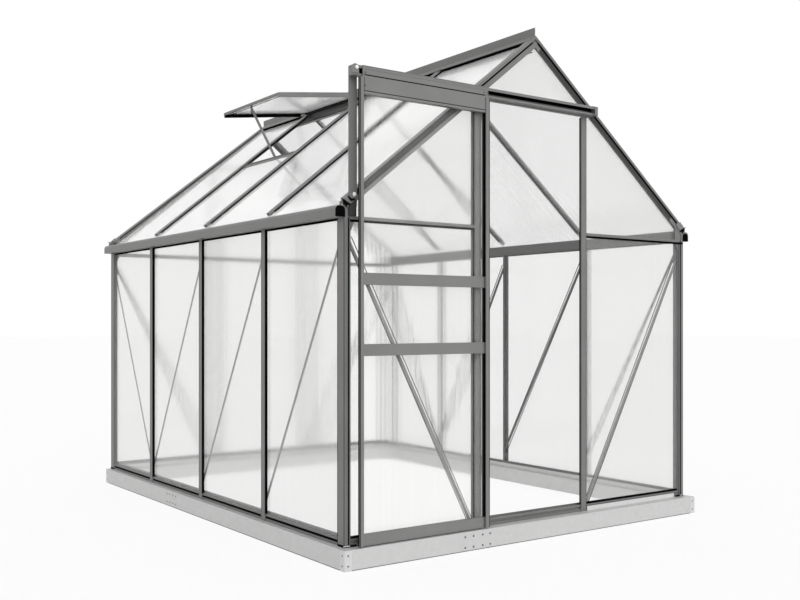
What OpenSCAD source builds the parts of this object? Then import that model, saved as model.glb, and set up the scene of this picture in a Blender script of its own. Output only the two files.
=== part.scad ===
// Polycarbonate greenhouse: aluminium profile frame on a galvanised base,
// twin-wall panels, open roof vent and a sliding door that rolls on a track.
// Units are millimetres. X runs across the gables, Y along the ridge, Z is up.
// The origin is the middle of the base's underside; the door is on the -Y gable.

/* [Base] */
// width of the base across the gables
base_w = 1955; // [1600:1:2500]
// length of the base along the ridge
base_l = 2500; // [2200:1:3200]
// height of the base rails
base_h = 76; // [50:1:140]
// sheet thickness of the base rails
base_t = 2; // [1.5:0.1:4]
// depth of the ledge that the frame stands on
base_ledge = 96; // [80:1:140]
// depth of the small return at the bottom of a base rail
base_foot = 16; // [10:1:40]
// leg of the folded angles inside the corners
base_bracket = 60; // [40:1:100]
// leg of the cover strips outside the corners
corner_strip = 32; // [15:1:60]
// thickness of the cover strips
strip_t = 1.2; // [0.8:0.1:3]
// distance from the front to the middle of the joint in a long rail
base_joint = 1579; // [1200:1:1900]
// distance of the joint in a short rail from the middle of the gable
end_joint = 352; // [150:1:600]
// length of the splice plate behind a joint
splice_l = 150; // [80:1:220]

/* [Frame] */
// distance from the side of the base to the wall face
wall_in = 27.5; // [20:0.5:60]
// distance from the base front to the front gable face
gable_in = 45; // [40:1:70]
// distance from the base back to the back gable face
back_in = 3; // [1:1:40]
// width of the front bay
bay_front = 631; // [560:1:720]
// width of the bay behind it
bay_second = 622; // [560:1:700]
// width of the vent bay
bay_vent = 604; // [560:1:700]
// height of the sill rails
sill_h = 22; // [16:1:40]
// underside of the gutters
eaves_z = 1284; // [1100:1:1700]
// rise of the roof per unit of run
roof_rise = 0.79; // [0.5:0.01:0.95]
// rise of the roof bars and sheets, which fall a little faster than the gable rafters
glass_rise = 0.807; // [0.5:0.001:0.96]
// height of the rafters' line over the underside of the gutters
rafter_h = 52; // [45:1:80]
// length of the roof bars down the slope
roof_bar_l = 1170; // [1000:1:1250]

/* [Profiles] */
// visible face width of a stud
stud_w = 33; // [24:1:40]
// thickness of the faces of the profiles
skin = 3; // [2:0.1:5]
// distance from the outer face to the panels
panel_in = 12; // [8:1:20]
// width of the raised core behind a face
core_w = 16; // [10:1:24]
// thickness of the webs
web_t = 3; // [2:0.1:5]
// depth of a web behind the panel plane
web_d = 7; // [5:1:30]
// width of the inner flange
inner_w = 6; // [4:1:20]
// thickness of the inner flange
inner_t = 2; // [1.5:0.1:4]
// thickness of the polycarbonate
sheet_t = 4; // [3:0.5:10]
// play between a sheet edge and a web
sheet_gap = 0.5; // [0.2:0.1:2]
// width of the diagonal braces
brace_w = 12; // [8:1:25]
// thickness of the diagonal braces
brace_t = 2.5; // [1.5:0.1:6]
// height of a wall brace's lower end above the sill
brace_lo = 64; // [20:1:300]
// distance of a wall brace's upper end below the eaves
brace_hi = 62; // [20:1:300]
// height of the last wall brace's lower end above the sill
brace_lo_back = 20; // [12:1:300]
// distance of the last wall brace's upper end below the eaves
brace_hi_back = 127; // [20:1:300]
// distance of a gable brace's upper end below the eaves
brace_hi_gable = 76; // [20:1:300]
// length of a corner post's side face
post_w = 49; // [40:1:70]
// width of a corner post's gable face
post_face = 25.5; // [20:0.5:30]
// width of the tube inside a corner post
post_tube_w = 12; // [9:1:14]
// reach of that tube from the gable face
post_tube_l = 39; // [30:1:48]
// reach of a door post's web behind the panel plane
post_leg = 10; // [6:1:24]
// width of the flange at the end of that web
post_flange = 10; // [6:1:16]
// depth of a gable rafter square to the slope
rafter_d = 39; // [25:1:60]

/* [Gutter] */
// overhang of the gutter beyond the wall face
gutter_out = 39; // [20:1:70]
// height of the gutter
gutter_h = 44; // [35:1:60]
// radius of the gutter's outer top edge
gutter_r = 16; // [6:1:24]
// wall thickness of the gutter
gutter_t = 2.5; // [1.5:0.1:5]
// inner face of the gutter, from the wall face
gutter_in = 22; // [22:1:60]

/* [Ridge] */
// height of the upright fin above the roof planes
fin_h = 35; // [10:1:60]
// thickness of the upright fin
fin_t = 4; // [2:0.1:8]
// length of the sloping flanges
ridge_flange = 40; // [20:1:70]
// depth of the ridge beam below the apex
ridge_d = 62; // [30:1:90]

/* [Vent] */
// length of the vent leaf down the slope
vent_l = 512; // [350:1:700]
// thickness of the side frames of the leaf
vent_d = 16; // [10:1:40]
// drop angle of the open leaf below level
vent_drop = 7.3; // [0:0.1:30]
// hinge distance from the apex down the slope
vent_hinge = 34; // [25:1:60]
// radius of the hinge bead
vent_bead = 4; // [2:0.1:8]
// depth of the cross rail under the leaf
vent_sill_d = 24; // [18:1:40]
// depth of the rest that the stay stands on
stay_rest = 44; // [42:1:60]

/* [Door] */
// width of the door
door_w = 621; // [500:1:800]
// middle of the doorway across the gable
door_mid = -16.2; // [-100:0.1:100]
// width of the clear doorway
door_clear = 567.6; // [450:0.1:750]
// distance the door slides
door_travel = 584.8; // [400:0.1:700]
// gap under the door
door_gap = 5; // [5:0.5:20]
// depth of the door stiles
door_d = 26; // [22:1:36]
// set-back of the rails behind the front of the stiles
rail_in = 10; // [4:1:14]
// front face of the door, from the base front
door_in = 2; // [1:0.5:10]
// face width of the stiles
stile_w = 19; // [14:1:40]
// thickness of the web behind a stile's face
stile_web = 3.5; // [2:0.5:6]
// reach of the sheet pocket beyond a stile's face
stile_lip = 3; // [2:0.5:8]
// height of the bottom rail
door_rail_bot = 42; // [30:1:80]
// height of the two middle rails
door_rail_mid = 44; // [25:1:80]
// underside of the lower middle rail
door_mid_1 = 776; // [600:1:900]
// underside of the upper middle rail
door_mid_2 = 1038; // [940:1:1300]
// height of the top rail
door_rail_top = 60; // [45:1:90]
// distance of the left hanger roller from the door's edge
roller_left = 26; // [20:1:120]
// distance of the right hanger roller from the door's edge
roller_right = 31; // [20:1:120]
// radius of the rollers
roller_r = 10; // [6:0.5:15]

/* [Track] */
// height of the track
track_h = 37; // [34:1:60]
// underside of the track
track_z = 1801; // [1500:1:2100]
// gap between the door's face plate and the track
track_gap = 5; // [5:0.5:10]
// right end of the track
track_end = 333; // [280:1:420]
// thickness of the track walls
track_t = 3; // [2:0.1:5]
// left end of the track
track_start = 933; // [915:1:945]
// width of the upright bar that carries the left end
bar_w = 36; // [20:1:50]
// thickness of the bar's face
bar_t = 3; // [2:0.1:5]
// width of the rounded end plate
end_plate_w = 30; // [20:1:40]

/* [Hidden] */
$fn = 48;
eps = 0.01;
seat = 0.3;
pitch = atan(roof_rise);
cp = cos(pitch);
sp = sin(pitch);
glass_pitch = atan(glass_rise);
gcp = cos(glass_pitch);
gsp = sin(glass_pitch);
yf = -base_l / 2;                         // front face of the base
yb = base_l / 2;                          // back face of the base
gf = yf + gable_in;                       // outer face of the front gable
gb = yb - back_in;                        // outer face of the back gable
xw = base_w / 2 - wall_in;                // outer face of the side walls
stud_1 = gf + bay_front;                  // middles of the three studs
stud_2 = stud_1 + bay_second;
stud_3 = stud_2 + bay_vent;
stud_y = [stud_1, stud_2, stud_3];
sill_z = base_h + sill_h;
lip_z = sill_z + 6;
xp = xw - panel_in;                       // outer face of the side panels
xg = xw - gutter_in;                      // inner face of the gutters
eaves_t = eaves_z + gutter_h;
roof_seat = 5;                            // the roof sheets meet the gutter here
apex_z = eaves_z + rafter_h + roof_rise * (xw - roof_seat) + (panel_in + sheet_t) / cp;
half_core = core_w / 2;
half_face = stud_w / 2;
post_floor = post_face + 6.5;             // reach of the recess beside a post's gable face
post_edge = half_core + sheet_gap;        // sheet edges beside a door post
t_core = -panel_in;                       // underside of a roof bar's core
t_sheet = -panel_in - sheet_t;            // underside of a roof sheet
post_l = door_mid - door_clear / 2 - half_face;
post_r = door_mid + door_clear / 2 + half_face;
cross_z = eaves_z - 4.5;                  // middle of the crossbars
cross_h = 21;
cross_face = 12;                          // height of their faces, over a recess
header_z = track_z - 5;
track_y1 = gf - bar_t;                    // back of the track
door_x0 = door_mid - door_w / 2 - door_travel;
door_x1 = door_x0 + door_w;
door_y0 = yf + door_in;
door_y1 = door_y0 + door_d;
door_z0 = base_h + door_gap;
rail_y0 = door_y0 + rail_in;              // front of the rails
door_top_z = track_z - 5;                 // top of the stiles and the top rail
door_top_0 = door_top_z - door_rail_top;
hanger_z = track_z + 5;                   // lower edge of the hanger strip
hanger_x0 = door_x0 + 14;
hanger_x1 = door_x1 - 8;
door_sheet_y = door_y1 - 2 - sheet_t;
rail_x0 = door_x0 + stile_w + stile_lip;   // ends of the door's rails
rail_x1 = door_x1 - stile_w - stile_lip;
track_y0 = door_y0 + skin + track_gap;
track_x0 = -track_start;
roller_x0 = door_x0 + roller_left;
roller_x1 = door_x1 - roller_right;
roller_z = track_z + track_t + roller_r + seat;
brace_plane = panel_in + sheet_t + seat;  // the braces lie behind the sheets
vent_i = 1;                               // the vent bay is between studs 1 and 2
vent_y0 = stud_y[1] - 5;
vent_y1 = stud_y[2] + 5;
hinge_t = skin + vent_bead;
hinge_x = -(vent_hinge * cp + hinge_t * sp);
hinge_z = apex_z - vent_hinge * sp + hinge_t * cp;
vent_sill_s = vent_hinge + vent_l - 1;    // web of the cross rail under the leaf
stay_y = (stud_y[1] + stud_y[2]) / 2;
stay_w = 11;
rest_t = 3 - stay_rest;                    // top of the rest for the stay

// a box from its low corner to its high corner
module span(x0, x1, y0, y1, z0, z1) {
    translate([x0, y0, z0])
        cube([x1 - x0, y1 - y0, z1 - z0]);
}

// a polygon in the XZ plane drawn out along Y from y0 to y1
module along_y(y0, y1) {
    translate([0, y1, 0])
        rotate([90, 0, 0])
            linear_extrude(height = y1 - y0)
                children();
}

// a polygon in the YZ plane drawn out along X from x0 to x1
module along_x(x0, x1) {
    translate([x0, 0, 0])
        rotate([90, 0, 90])
            linear_extrude(height = x1 - x0)
                children();
}

// the other side of the ridge line
module other_side() {
    mirror([1, 0, 0])
        children();
}

// one roof slope: X runs down the slope from the apex, Z square out of it
module on_slope(side) {
    mirror([side < 0 ? 1 : 0, 0, 0])
        translate([0, 0, apex_z])
            rotate([0, glass_pitch, 0])
                children();
}

// height of the roof surface moved by t square to the slope, at distance x
function roof_z(x, t) = apex_z - roof_rise * abs(x) + t / cp;

// the same for the plane of the roof bars and sheets
function glass_z(x, t) = apex_z - glass_rise * abs(x) + t / gcp;
function glass_x(z, t) = (apex_z + t / gcp - z) / glass_rise;

// distance from the ridge line where the roof surface moved by t has height z
function roof_x(z, t) = (apex_z + t / cp - z) / roof_rise;

// cross-section of a glazing profile: Y runs inward from the outer face
module stud_profile() {
    difference() {
        union() {
            translate([-half_face, 0])
                square([stud_w, skin]);
            translate([-half_core, skin - eps])
                square([core_w, panel_in - skin + eps]);
            translate([-web_t / 2, panel_in - eps])
                square([web_t, web_d + 2 * eps]);
            translate([-inner_w / 2, panel_in + web_d])
                square([inner_w, inner_t]);
        }
        translate([-half_core + 2.5, skin])
            square([core_w - 5, panel_in - skin - 2.5]);
    }
}

// ---------------------------------------------------------------- base

// cross-section of a base rail: X runs inward from the outer face
module base_profile() {
    square([base_t, base_h]);
    translate([0, base_h - base_t])
        square([base_ledge, base_t]);
    translate([base_ledge - base_t, base_h - 14])
        square([base_t, 14]);
    square([base_foot, base_t]);
    translate([base_foot - base_t, 0])
        square([base_t, 8]);
}

module base_side() {
    translate([base_w / 2 - strip_t, 0, 0])
        mirror([1, 0, 0])
            along_y(yf + strip_t + base_t, yb - strip_t - base_t)
                base_profile();
}

module base_sides() {
    color("silver") {
        base_side();
        other_side()
            base_side();
    }
}

module base_end() {
    x0 = base_w / 2 - strip_t;
    x1 = x0 - base_ledge;
    y = yf + strip_t;
    span(-x0, x0, y, y + base_t, 0, base_h);
    span(-x1, x1, y + base_t - eps, y + base_ledge, base_h - base_t, base_h);
    span(-x1, x1, y + base_ledge - base_t, y + base_ledge, base_h - 14, base_h - base_t + eps);
    span(-x1, x1, y + base_t - eps, y + base_foot, 0, base_t);
    span(-x1, x1, y + base_foot - base_t, y + base_foot, 0, 8);
}

module base_ends() {
    color("silver") {
        base_end();
        mirror([0, 1, 0])
            base_end();
    }
}

// folded angle inside each corner of the base, and the cover strip outside it
module base_bracket() {
    h = base_h - base_t - 12;
    translate([base_w / 2 - strip_t - base_t, yf + strip_t + base_t, 12])
        mirror([1, 0, 0]) {
            cube([base_t, base_bracket, h]);
            cube([base_bracket, base_t, h]);
        }
    translate([base_w / 2, yf, 0])
        mirror([1, 0, 0]) {
            cube([strip_t, corner_strip, base_h]);
            cube([corner_strip, strip_t, base_h]);
        }
}

// plates behind the joints of the long rails and the end rails
module base_splices() {
    h = base_h - base_t - 12;
    for (sx = [0, 1])
        mirror([sx, 0, 0])
            translate([base_w / 2 - strip_t - 2 * base_t, yf + base_joint - splice_l / 2, 12])
                cube([base_t, splice_l, h]);
    for (sy = [0, 1])
        mirror([0, sy, 0])
            translate([-end_joint - splice_l / 2, yf + strip_t + base_t, 12])
                cube([splice_l, base_t, h]);
}

module base_brackets() {
    color("gainsboro") {
        for (sx = [0, 1])
            for (sy = [0, 1])
                mirror([sx, 0, 0])
                    mirror([0, sy, 0])
                        base_bracket();
        base_splices();
    }
}

// ---------------------------------------------------------------- walls

// cross-section of a sill: X runs inward from the outer face, a lip outside the sheet
module sill_profile(depth) {
    difference() {
        union() {
            translate([skin + 2, 0])
                square([depth - skin - 2, sill_h]);
            translate([skin, 3])
                square([depth - skin, sill_h - 3]);
            translate([skin, sill_h - eps])
                square([panel_in - skin, lip_z - sill_z + eps]);
            translate([depth - skin, sill_h - eps])
                square([skin, 10]);
        }
        // chamber behind the sheet line, and the groove in the face
        translate([panel_in + 3, 3])
            square([depth - panel_in - 6, sill_h - 6]);
        translate([skin - eps, sill_h / 2])
            square([6, sill_h / 2 - 1]);
    }
}

module sill_sides() {
    color("dimgray")
        for (sx = [0, 1])
            mirror([sx, 0, 0])
                translate([xw, 0, base_h])
                    mirror([1, 0, 0])
                        along_y(gf + post_w, gb - post_w)
                            sill_profile(42);
}

module sill_end() {
    translate([0, gf, base_h])
        along_x(-xw + post_floor, xw - post_floor)
            sill_profile(38);
}

module sill_ends() {
    color("dimgray") {
        sill_end();
        translate([0, gf + gb, 0])
            mirror([0, 1, 0])
                sill_end();
    }
}

// cross-section of a corner post, its outer corner at the origin
module post_profile() {
    b = 2.5;
    // side face, and the gable face whose inner part slopes back
    square([skin, post_w]);
    polygon([[0, 0], [post_face - 10, 0], [post_face, b], [post_face, b + skin], [0, b + skin]]);
    // floor of the recess beside the gable face
    translate([skin - eps, 8])
        square([post_floor - skin + eps, panel_in - 8]);
    // side core
    translate([skin - eps, 8])
        square([panel_in - skin + eps, post_w - 8]);
    // inner tube
    difference() {
        translate([panel_in, panel_in - eps])
            square([post_tube_w, post_tube_l - panel_in + eps]);
        translate([panel_in + b, panel_in + b])
            square([post_tube_w - 2 * b, post_tube_l - panel_in - 2 * b]);
    }
    translate([panel_in - eps, 8])
        square([4, 6]);
}

// upright gusset that carries the rafter foot on a corner post, and the small
// corner plate under the crossbar
module post_gusset() {
    x0 = xw - post_w - 5;
    x1 = xw - skin;
    xc = xw - post_face;
    zt = cross_z + cross_h / 2;
    zb = cross_z - cross_h / 2;
    along_y(gf + skin, gf + panel_in)
        polygon([[x0, zt], [xc, zt], [xc, eaves_z - eps], [x1, eaves_z - eps],
            [x1, roof_z(x1, -rafter_d)], [x0, roof_z(x0, -rafter_d)]]);
    along_y(gf + 6, gf + 8 + eps)
        polygon([[xc, zb], [xc - 20, zb], [xc - 4, zb - 38], [xc, zb - 42]]);
}

module corner_post() {
    translate([xw, gf, base_h])
        mirror([1, 0, 0])
            linear_extrude(height = eaves_z - base_h)
                post_profile();
    post_gusset();
}

module corner_posts() {
    color("gray") {
        for (sx = [0, 1])
            mirror([sx, 0, 0]) {
                corner_post();
                translate([0, gf + gb, 0])
                    mirror([0, 1, 0])
                        corner_post();
            }
    }
}

// side stud: the face runs down over the sill, the rest stands on it
module side_stud(y) {
    translate([xw, y, 0])
        rotate([0, 0, 90]) {
            translate([0, 0, lip_z])
                linear_extrude(height = eaves_z - lip_z)
                    stud_profile();
            translate([-half_face, 0, base_h])
                cube([stud_w, skin, lip_z - base_h + eps]);
        }
}

module right_studs() {
    color("gray")
        for (y = stud_y)
            side_stud(y);
}

module left_studs() {
    color("gray")
        for (y = stud_y)
            other_side()
                side_stud(y);
}

// cross-section of a door post: the web stands at its -X side, away from the doorway
module door_post_profile() {
    difference() {
        union() {
            translate([-half_face, 0])
                square([stud_w, skin]);
            translate([-half_core, skin - eps])
                square([core_w, panel_in - skin + eps]);
            translate([-half_core, panel_in - eps])
                square([web_t, post_leg + 2 * eps]);
            translate([-half_core - post_flange, panel_in + post_leg])
                square([web_t + post_flange, inner_t]);
        }
        translate([-half_core + 2.5, skin])
            square([core_w - 5, panel_in - skin - 2.5]);
    }
}

// gable post, its face over the sill, up to the header and cut along the rafter
module gable_post(x) {
    a = -rafter_d - 0.1;
    difference() {
        translate([x, gf, 0]) {
            translate([0, 0, lip_z])
                linear_extrude(height = header_z - lip_z)
                    children();
            translate([-half_face, 0, base_h])
                cube([stud_w, skin, lip_z - base_h + eps]);
        }
        for (sx = [0, 1])
            mirror([sx, 0, 0])
                along_y(gf - 1, gf + 60)
                    polygon([[0, roof_z(0, a)], [xw, roof_z(xw, a)], [xw, apex_z], [0, apex_z]]);
    }
}

module door_posts() {
    color("gray") {
        gable_post(post_l)
            door_post_profile();
        gable_post(post_r)
            mirror([1, 0])
                door_post_profile();
    }
}

module back_posts() {
    color("gray")
        translate([0, gf + gb, 0])
            mirror([0, 1, 0])
                for (x = [post_l, -post_l])
                    gable_post(x)
                        stud_profile();
}

// ---------------------------------------------------------------- eaves and ridge

module gutter() {
    x1 = xw + gutter_out;
    xs = glass_x(eaves_t, t_sheet - 0.1);
    t = gutter_t;
    xi = glass_x(eaves_t - t, t_sheet - 1.4 * t);
    along_y(gf + panel_in, gb - panel_in)
        difference() {
            union() {
                polygon([[xg, eaves_z], [x1, eaves_z], [x1, eaves_t - gutter_r],
                    [x1 - gutter_r, eaves_t - gutter_r], [x1 - gutter_r, eaves_t], [xs, eaves_t],
                    [xg, glass_z(xg, t_sheet - 0.1)]]);
                translate([x1 - gutter_r, eaves_t - gutter_r])
                    circle(r = gutter_r);
            }
            polygon([[xg + t, eaves_z + t], [x1 - t, eaves_z + t], [x1 - t, eaves_t - gutter_r],
                [x1 - gutter_r, eaves_t - gutter_r], [x1 - gutter_r, eaves_t - t],
                [xi, eaves_t - t], [xg + t, glass_z(xg + t, t_sheet - 1.4 * t)]]);
            translate([x1 - gutter_r, eaves_t - gutter_r])
                circle(r = gutter_r - t);
        }
}

module right_gutter() {
    color("gray")
        gutter();
}

module left_gutter() {
    color("gray")
        other_side()
            gutter();
}

module ridge() {
    r0 = gf + 6;
    r1 = gb - 27;
    f = ridge_flange * cp;
    color("gray") {
        along_y(r0, r1) {
            translate([-fin_t / 2, apex_z])
                square([fin_t, fin_h]);
            polygon([[-f, roof_z(f, 0)], [0, apex_z], [f, roof_z(f, 0)], [f, roof_z(f, skin)],
                [0, roof_z(0, skin)], [-f, roof_z(f, skin)]]);
        }
        along_y(gf + 36, gb - 36) {
            translate([-fin_t / 2, apex_z - ridge_d])
                square([fin_t, ridge_d]);
            translate([-14, apex_z - ridge_d])
                square([28, skin]);
        }
    }
}

// one strip of a rafter's section, drawn from the apex to x1
module rafter_strip(t0, t1, y0, y1, x0, x1) {
    along_y(y0, y1)
        polygon([[x0, roof_z(x0, t0)], [x1, roof_z(x1, t0)], [x1, roof_z(x1, t1)],
            [x0, roof_z(x0, t1)]]);
}

module front_rafter() {
    xc = glass_x(eaves_t, t_sheet) - 3;
    // outer lip, groove, recess and lower face
    rafter_strip(-11, 0, gf, gf + panel_in, 0, xw + 14);
    rafter_strip(-19, -11 + eps, gf + 7, gf + panel_in, 0, xw);
    rafter_strip(-rafter_d, -19 + eps, gf + 2, gf + panel_in, 0, xw);
    // cap over the roof sheet
    rafter_strip(t_core, 0, gf + panel_in - eps, gf + 34, 0, xw - 6);
    // wedge that closes the cap down to the sheet
    along_y(gf + panel_in, gf + 34)
        polygon([[60, roof_z(60, t_core + 1)], [xc, roof_z(xc, t_core + 1)],
            [xc, glass_z(xc, t_core + 0.1)], [60, glass_z(60, t_core + 0.1)]]);
    // inner web
    rafter_strip(-30, t_core + eps, gf + panel_in - eps, gf + panel_in + 4, 0, xg - 2);
}

module front_rafters() {
    color("gray") {
        front_rafter();
        other_side()
            front_rafter();
    }
}

module back_rafters() {
    color("gray")
        translate([0, gf + gb, 0])
            mirror([0, 1, 0]) {
                front_rafter();
                other_side()
                    front_rafter();
            }
}

// roof bar: face, core and web end where the ridge and the gutter begin
module roof_bar(y) {
    s_end = roof_bar_l;
    s_web0 = (fin_t / 2 + (panel_in + web_d + inner_t) * gsp + 1) / gcp;
    s_web1 = s_end - 10;
    span(8, s_end, y - half_face, y + half_face, -skin, 0);
    difference() {
        span(16, s_end, y - half_core, y + half_core, t_core, -skin + eps);
        span(15, s_end + 1, y - half_core + 2.5, y + half_core - 2.5, t_core + 2.5, -skin);
    }
    span(s_web0, s_web1, y - web_t / 2, y + web_t / 2, t_core - web_d - eps, t_core + eps);
    span(s_web0, s_web1, y - inner_w / 2, y + inner_w / 2, t_core - web_d - inner_t, t_core - web_d);
}

// clip at the top of a roof bar, over the edge of the ridge flange
module ridge_clip(y) {
    w = half_face - 1;
    span(ridge_flange + 2 * seat, ridge_flange + 4, y - w, y + w, -eps, skin + 3);
    span(ridge_flange - 10, ridge_flange + 4, y - w, y + w, skin + 3 * seat, skin + 3);
}

module right_roof_bars() {
    color("gray")
        on_slope(1)
            for (y = stud_y) {
                roof_bar(y);
                ridge_clip(y);
            }
}

module left_roof_bars() {
    color("gray")
        on_slope(-1) {
            for (y = stud_y)
                roof_bar(y);
            ridge_clip(stud_1);
        }
}

// ---------------------------------------------------------------- crossbars

// cross-section of a crossbar behind its face: X runs inward from the outer face
module cross_profile() {
    d = 8;
    z0 = cross_h / 2 - cross_face;
    difference() {
        translate([skin - eps, z0])
            square([d - skin + 2 * eps, cross_face]);
        translate([skin, z0 + 2.5])
            square([d - skin, cross_face - 5]);
    }
    translate([d, -cross_h / 2])
        square([panel_in - d, cross_h]);
    translate([panel_in - eps, -web_t / 2])
        square([web_d + 2 * eps, web_t]);
}

// crossbar from x0 to x1; a and b are how far its core ends short of its face
module cross_run(x0, x1, a, b) {
    zt = cross_z + cross_h / 2;
    span(x0, x1, gf, gf + skin, zt - cross_face, zt);
    translate([0, gf, cross_z])
        along_x(x0 + a, x1 - b)
            cross_profile();
}

// trapezoid between the rafters, behind the track
module header() {
    z1 = track_z + track_h;
    a = roof_x(header_z, -rafter_d);
    b = roof_x(z1, -rafter_d);
    along_y(track_y1, gf + panel_in)
        polygon([[-a, header_z], [a, header_z], [b, z1], [-b, z1]]);
}

module front_crossbars() {
    color("gray") {
        cross_run(-xw + post_face, post_l - half_face, post_floor - post_face, 0);
        cross_run(post_r + half_face, xw - post_face, 0, post_floor - post_face);
        header();
    }
}

module back_crossbars() {
    color("gray")
        translate([0, gf + gb, 0])
            mirror([0, 1, 0]) {
                cross_run(-xw + post_face, post_l - half_face, post_floor - post_face, 0);
                cross_run(post_l + half_face, -post_l - half_face, 0, 0);
                cross_run(-post_l + half_face, xw - post_face, 0, post_floor - post_face);
                header();
            }
}

// ---------------------------------------------------------------- braces

// flat strip in the YZ plane, its ends cut upright to meet the webs
module brace_side(y0, z0, y1, z1) {
    h = brace_w / 2 / cos(atan2(z1 - z0, y1 - y0));
    x = xw - brace_plane;
    along_x(x - brace_t, x)
        polygon([[y0, z0 - h], [y1, z1 - h], [y1, z1 + h], [y0, z0 + h]]);
}

module side_brace_set() {
    o = web_t / 2 + seat;
    p = post_tube_l + seat;
    lo = sill_z + brace_lo;
    hi = eaves_z - brace_hi;
    brace_side(gf + p, hi, stud_1 - o, lo);
    brace_side(stud_1 + o, hi, stud_2 - o, lo);
    brace_side(stud_2 + o, hi, stud_3 - o, lo);
    brace_side(stud_3 + o, sill_z + brace_lo_back, gb - p, eaves_z - brace_hi_back);
}

module side_braces() {
    color("gray") {
        side_brace_set();
        other_side()
            side_brace_set();
    }
}

// flat strip in the XZ plane from the sill beside a post up to a corner post
module brace_gable(x0, z0, x1, z1) {
    a = atan2(z1 - z0, x1 - x0);
    f = brace_w / 2 / sin(a);
    h = brace_w / 2 / cos(a);
    y = gf + brace_plane;
    along_y(y, y + brace_t)
        polygon([[x0 + f, z0], [x1, z1 - h], [x1, z1 + h], [x0 - f, z0]]);
}

module gable_brace_set(pl, pr) {
    o = half_core + 1.5 * brace_w;
    x1 = xw - panel_in - post_tube_w - seat;
    z0 = sill_z + seat;
    z1 = eaves_z - brace_hi_gable;
    brace_gable(pr + o, z0, x1, z1);
    other_side()
        brace_gable(-pl + o, z0, x1, z1);
}

module gable_braces() {
    color("gray") {
        gable_brace_set(post_l, post_r);
        translate([0, gf + gb, 0])
            mirror([0, 1, 0])
                gable_brace_set(post_l, -post_l);
    }
}

// ---------------------------------------------------------------- sheets

module side_sheets() {
    g = web_t / 2 + sheet_gap;
    y0 = [gf + post_w - 9, stud_y[0] + g, stud_y[1] + g, stud_y[2] + g];
    y1 = [stud_y[0] - g, stud_y[1] - g, stud_y[2] - g, gb - post_w + 9];
    for (i = [0:3])
        span(xp - sheet_t, xp, y0[i], y1[i], sill_z, eaves_z);
}

module right_wall_sheets() {
    color("white", 0.4)
        side_sheets();
}

module left_wall_sheets() {
    color("white", 0.4)
        other_side()
            side_sheets();
}

// upper side sheet of a gable, cut to the rafter
module gable_upper(x0, x1, z0, z1) {
    t = -rafter_d + 8;
    xm = roof_x(z1, t);
    along_y(gf + panel_in, gf + panel_in + sheet_t)
        polygon([[x0, z0], [x1, z0], [x1, roof_z(x1, t)], [xm, z1], [x0, z1]]);
}

module apex_sheet() {
    z0 = track_z + track_h - 10;
    t = -rafter_d + 8;
    a = roof_x(z0, t);
    along_y(gf + panel_in, gf + panel_in + sheet_t)
        polygon([[-a, z0], [a, z0], [0, roof_z(0, t)]]);
}

// sheets of one gable; the middle bay is left open for a doorway
module gable_sheets(pl, pr, open_middle) {
    g = web_t / 2 + sheet_gap;
    e = open_middle ? post_edge : g;
    xo = xw - panel_in - post_tube_w - sheet_gap;
    y0 = gf + panel_in;
    y1 = gf + panel_in + sheet_t;
    span(pr + e, xo, y0, y1, sill_z, cross_z - g);
    span(-xo, pl - e, y0, y1, sill_z, cross_z - g);
    gable_upper(pr + e, xo, cross_z + g, header_z - 1);
    mirror([1, 0, 0])
        gable_upper(-pl + e, xo, cross_z + g, header_z - 1);
    if (!open_middle) {
        span(pl + g, pr - g, y0, y1, sill_z, cross_z - g);
        span(pl + g, pr - g, y0, y1, cross_z + g, header_z + 8);
    }
    if (open_middle)
        apex_sheet();
}

module front_sheets() {
    color("white", 0.4)
        gable_sheets(post_l, post_r, true);
}

module back_sheets() {
    color("white", 0.4)
        translate([0, gf + gb, 0])
            mirror([0, 1, 0]) {
                gable_sheets(post_l, -post_l, false);
                apex_sheet();
            }
}

// roof sheets, in slope coordinates; s0 is where each sheet begins
module roof_sheets(s0) {
    g = web_t / 2 + sheet_gap;
    y0 = [gf + 19, stud_y[0] + g, stud_y[1] + g, stud_y[2] + g];
    y1 = [stud_y[0] - g, stud_y[1] - g, stud_y[2] - g, gb - 19];
    s1 = (glass_x(eaves_t, t_sheet - 0.1) - 0.4 - t_sheet * gsp) / gcp;
    for (i = [0:3])
        span(s0[i], s1, y0[i], y1[i], t_sheet, t_core);
}

module right_roof_sheets() {
    color("white", 0.4)
        on_slope(1)
            roof_sheets([18, 18, 18, 18]);
}

module left_roof_sheets() {
    color("white", 0.4)
        on_slope(-1)
            roof_sheets([18, 18, vent_sill_s + 6, 18]);
}

// ---------------------------------------------------------------- vent

// leaf coordinates: X runs from the hinge to the free edge, Z square to the leaf
module on_leaf() {
    translate([hinge_x, 0, hinge_z])
        mirror([1, 0, 0])
            rotate([0, vent_drop, 0])
                children();
}

module vent_side(y0, y1) {
    along_y(y0, y1)
        polygon([[10, 5], [10, -5], [34, -vent_d + 5], [vent_l, -vent_d + 5], [vent_l, 5]]);
}

module vent_frame() {
    color("gray")
        on_leaf() {
            vent_side(vent_y0, vent_y0 + skin);
            vent_side(vent_y1 - skin, vent_y1);
            // flanges over the sheet
            span(10, vent_l, vent_y0, vent_y0 + 20, 2, 5);
            span(10, vent_l, vent_y1 - 20, vent_y1, 2, 5);
            // free edge
            span(vent_l - 18, vent_l, vent_y0, vent_y1, 2, 5);
            span(vent_l - skin, vent_l, vent_y0, vent_y1, -7, 5);
            span(vent_l - 14, vent_l, vent_y0 + skin - eps, vent_y1 - skin + eps, -7, -5);
            // hinge rail and bead
            span(0, 20, vent_y0, vent_y1, 2, 5);
            rotate([-90, 0, 0])
                translate([0, 0, vent_y0])
                    cylinder(r = vent_bead, h = vent_y1 - vent_y0);
            span(0, 12, vent_y0, vent_y1, -2, 3);
        }
}

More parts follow.
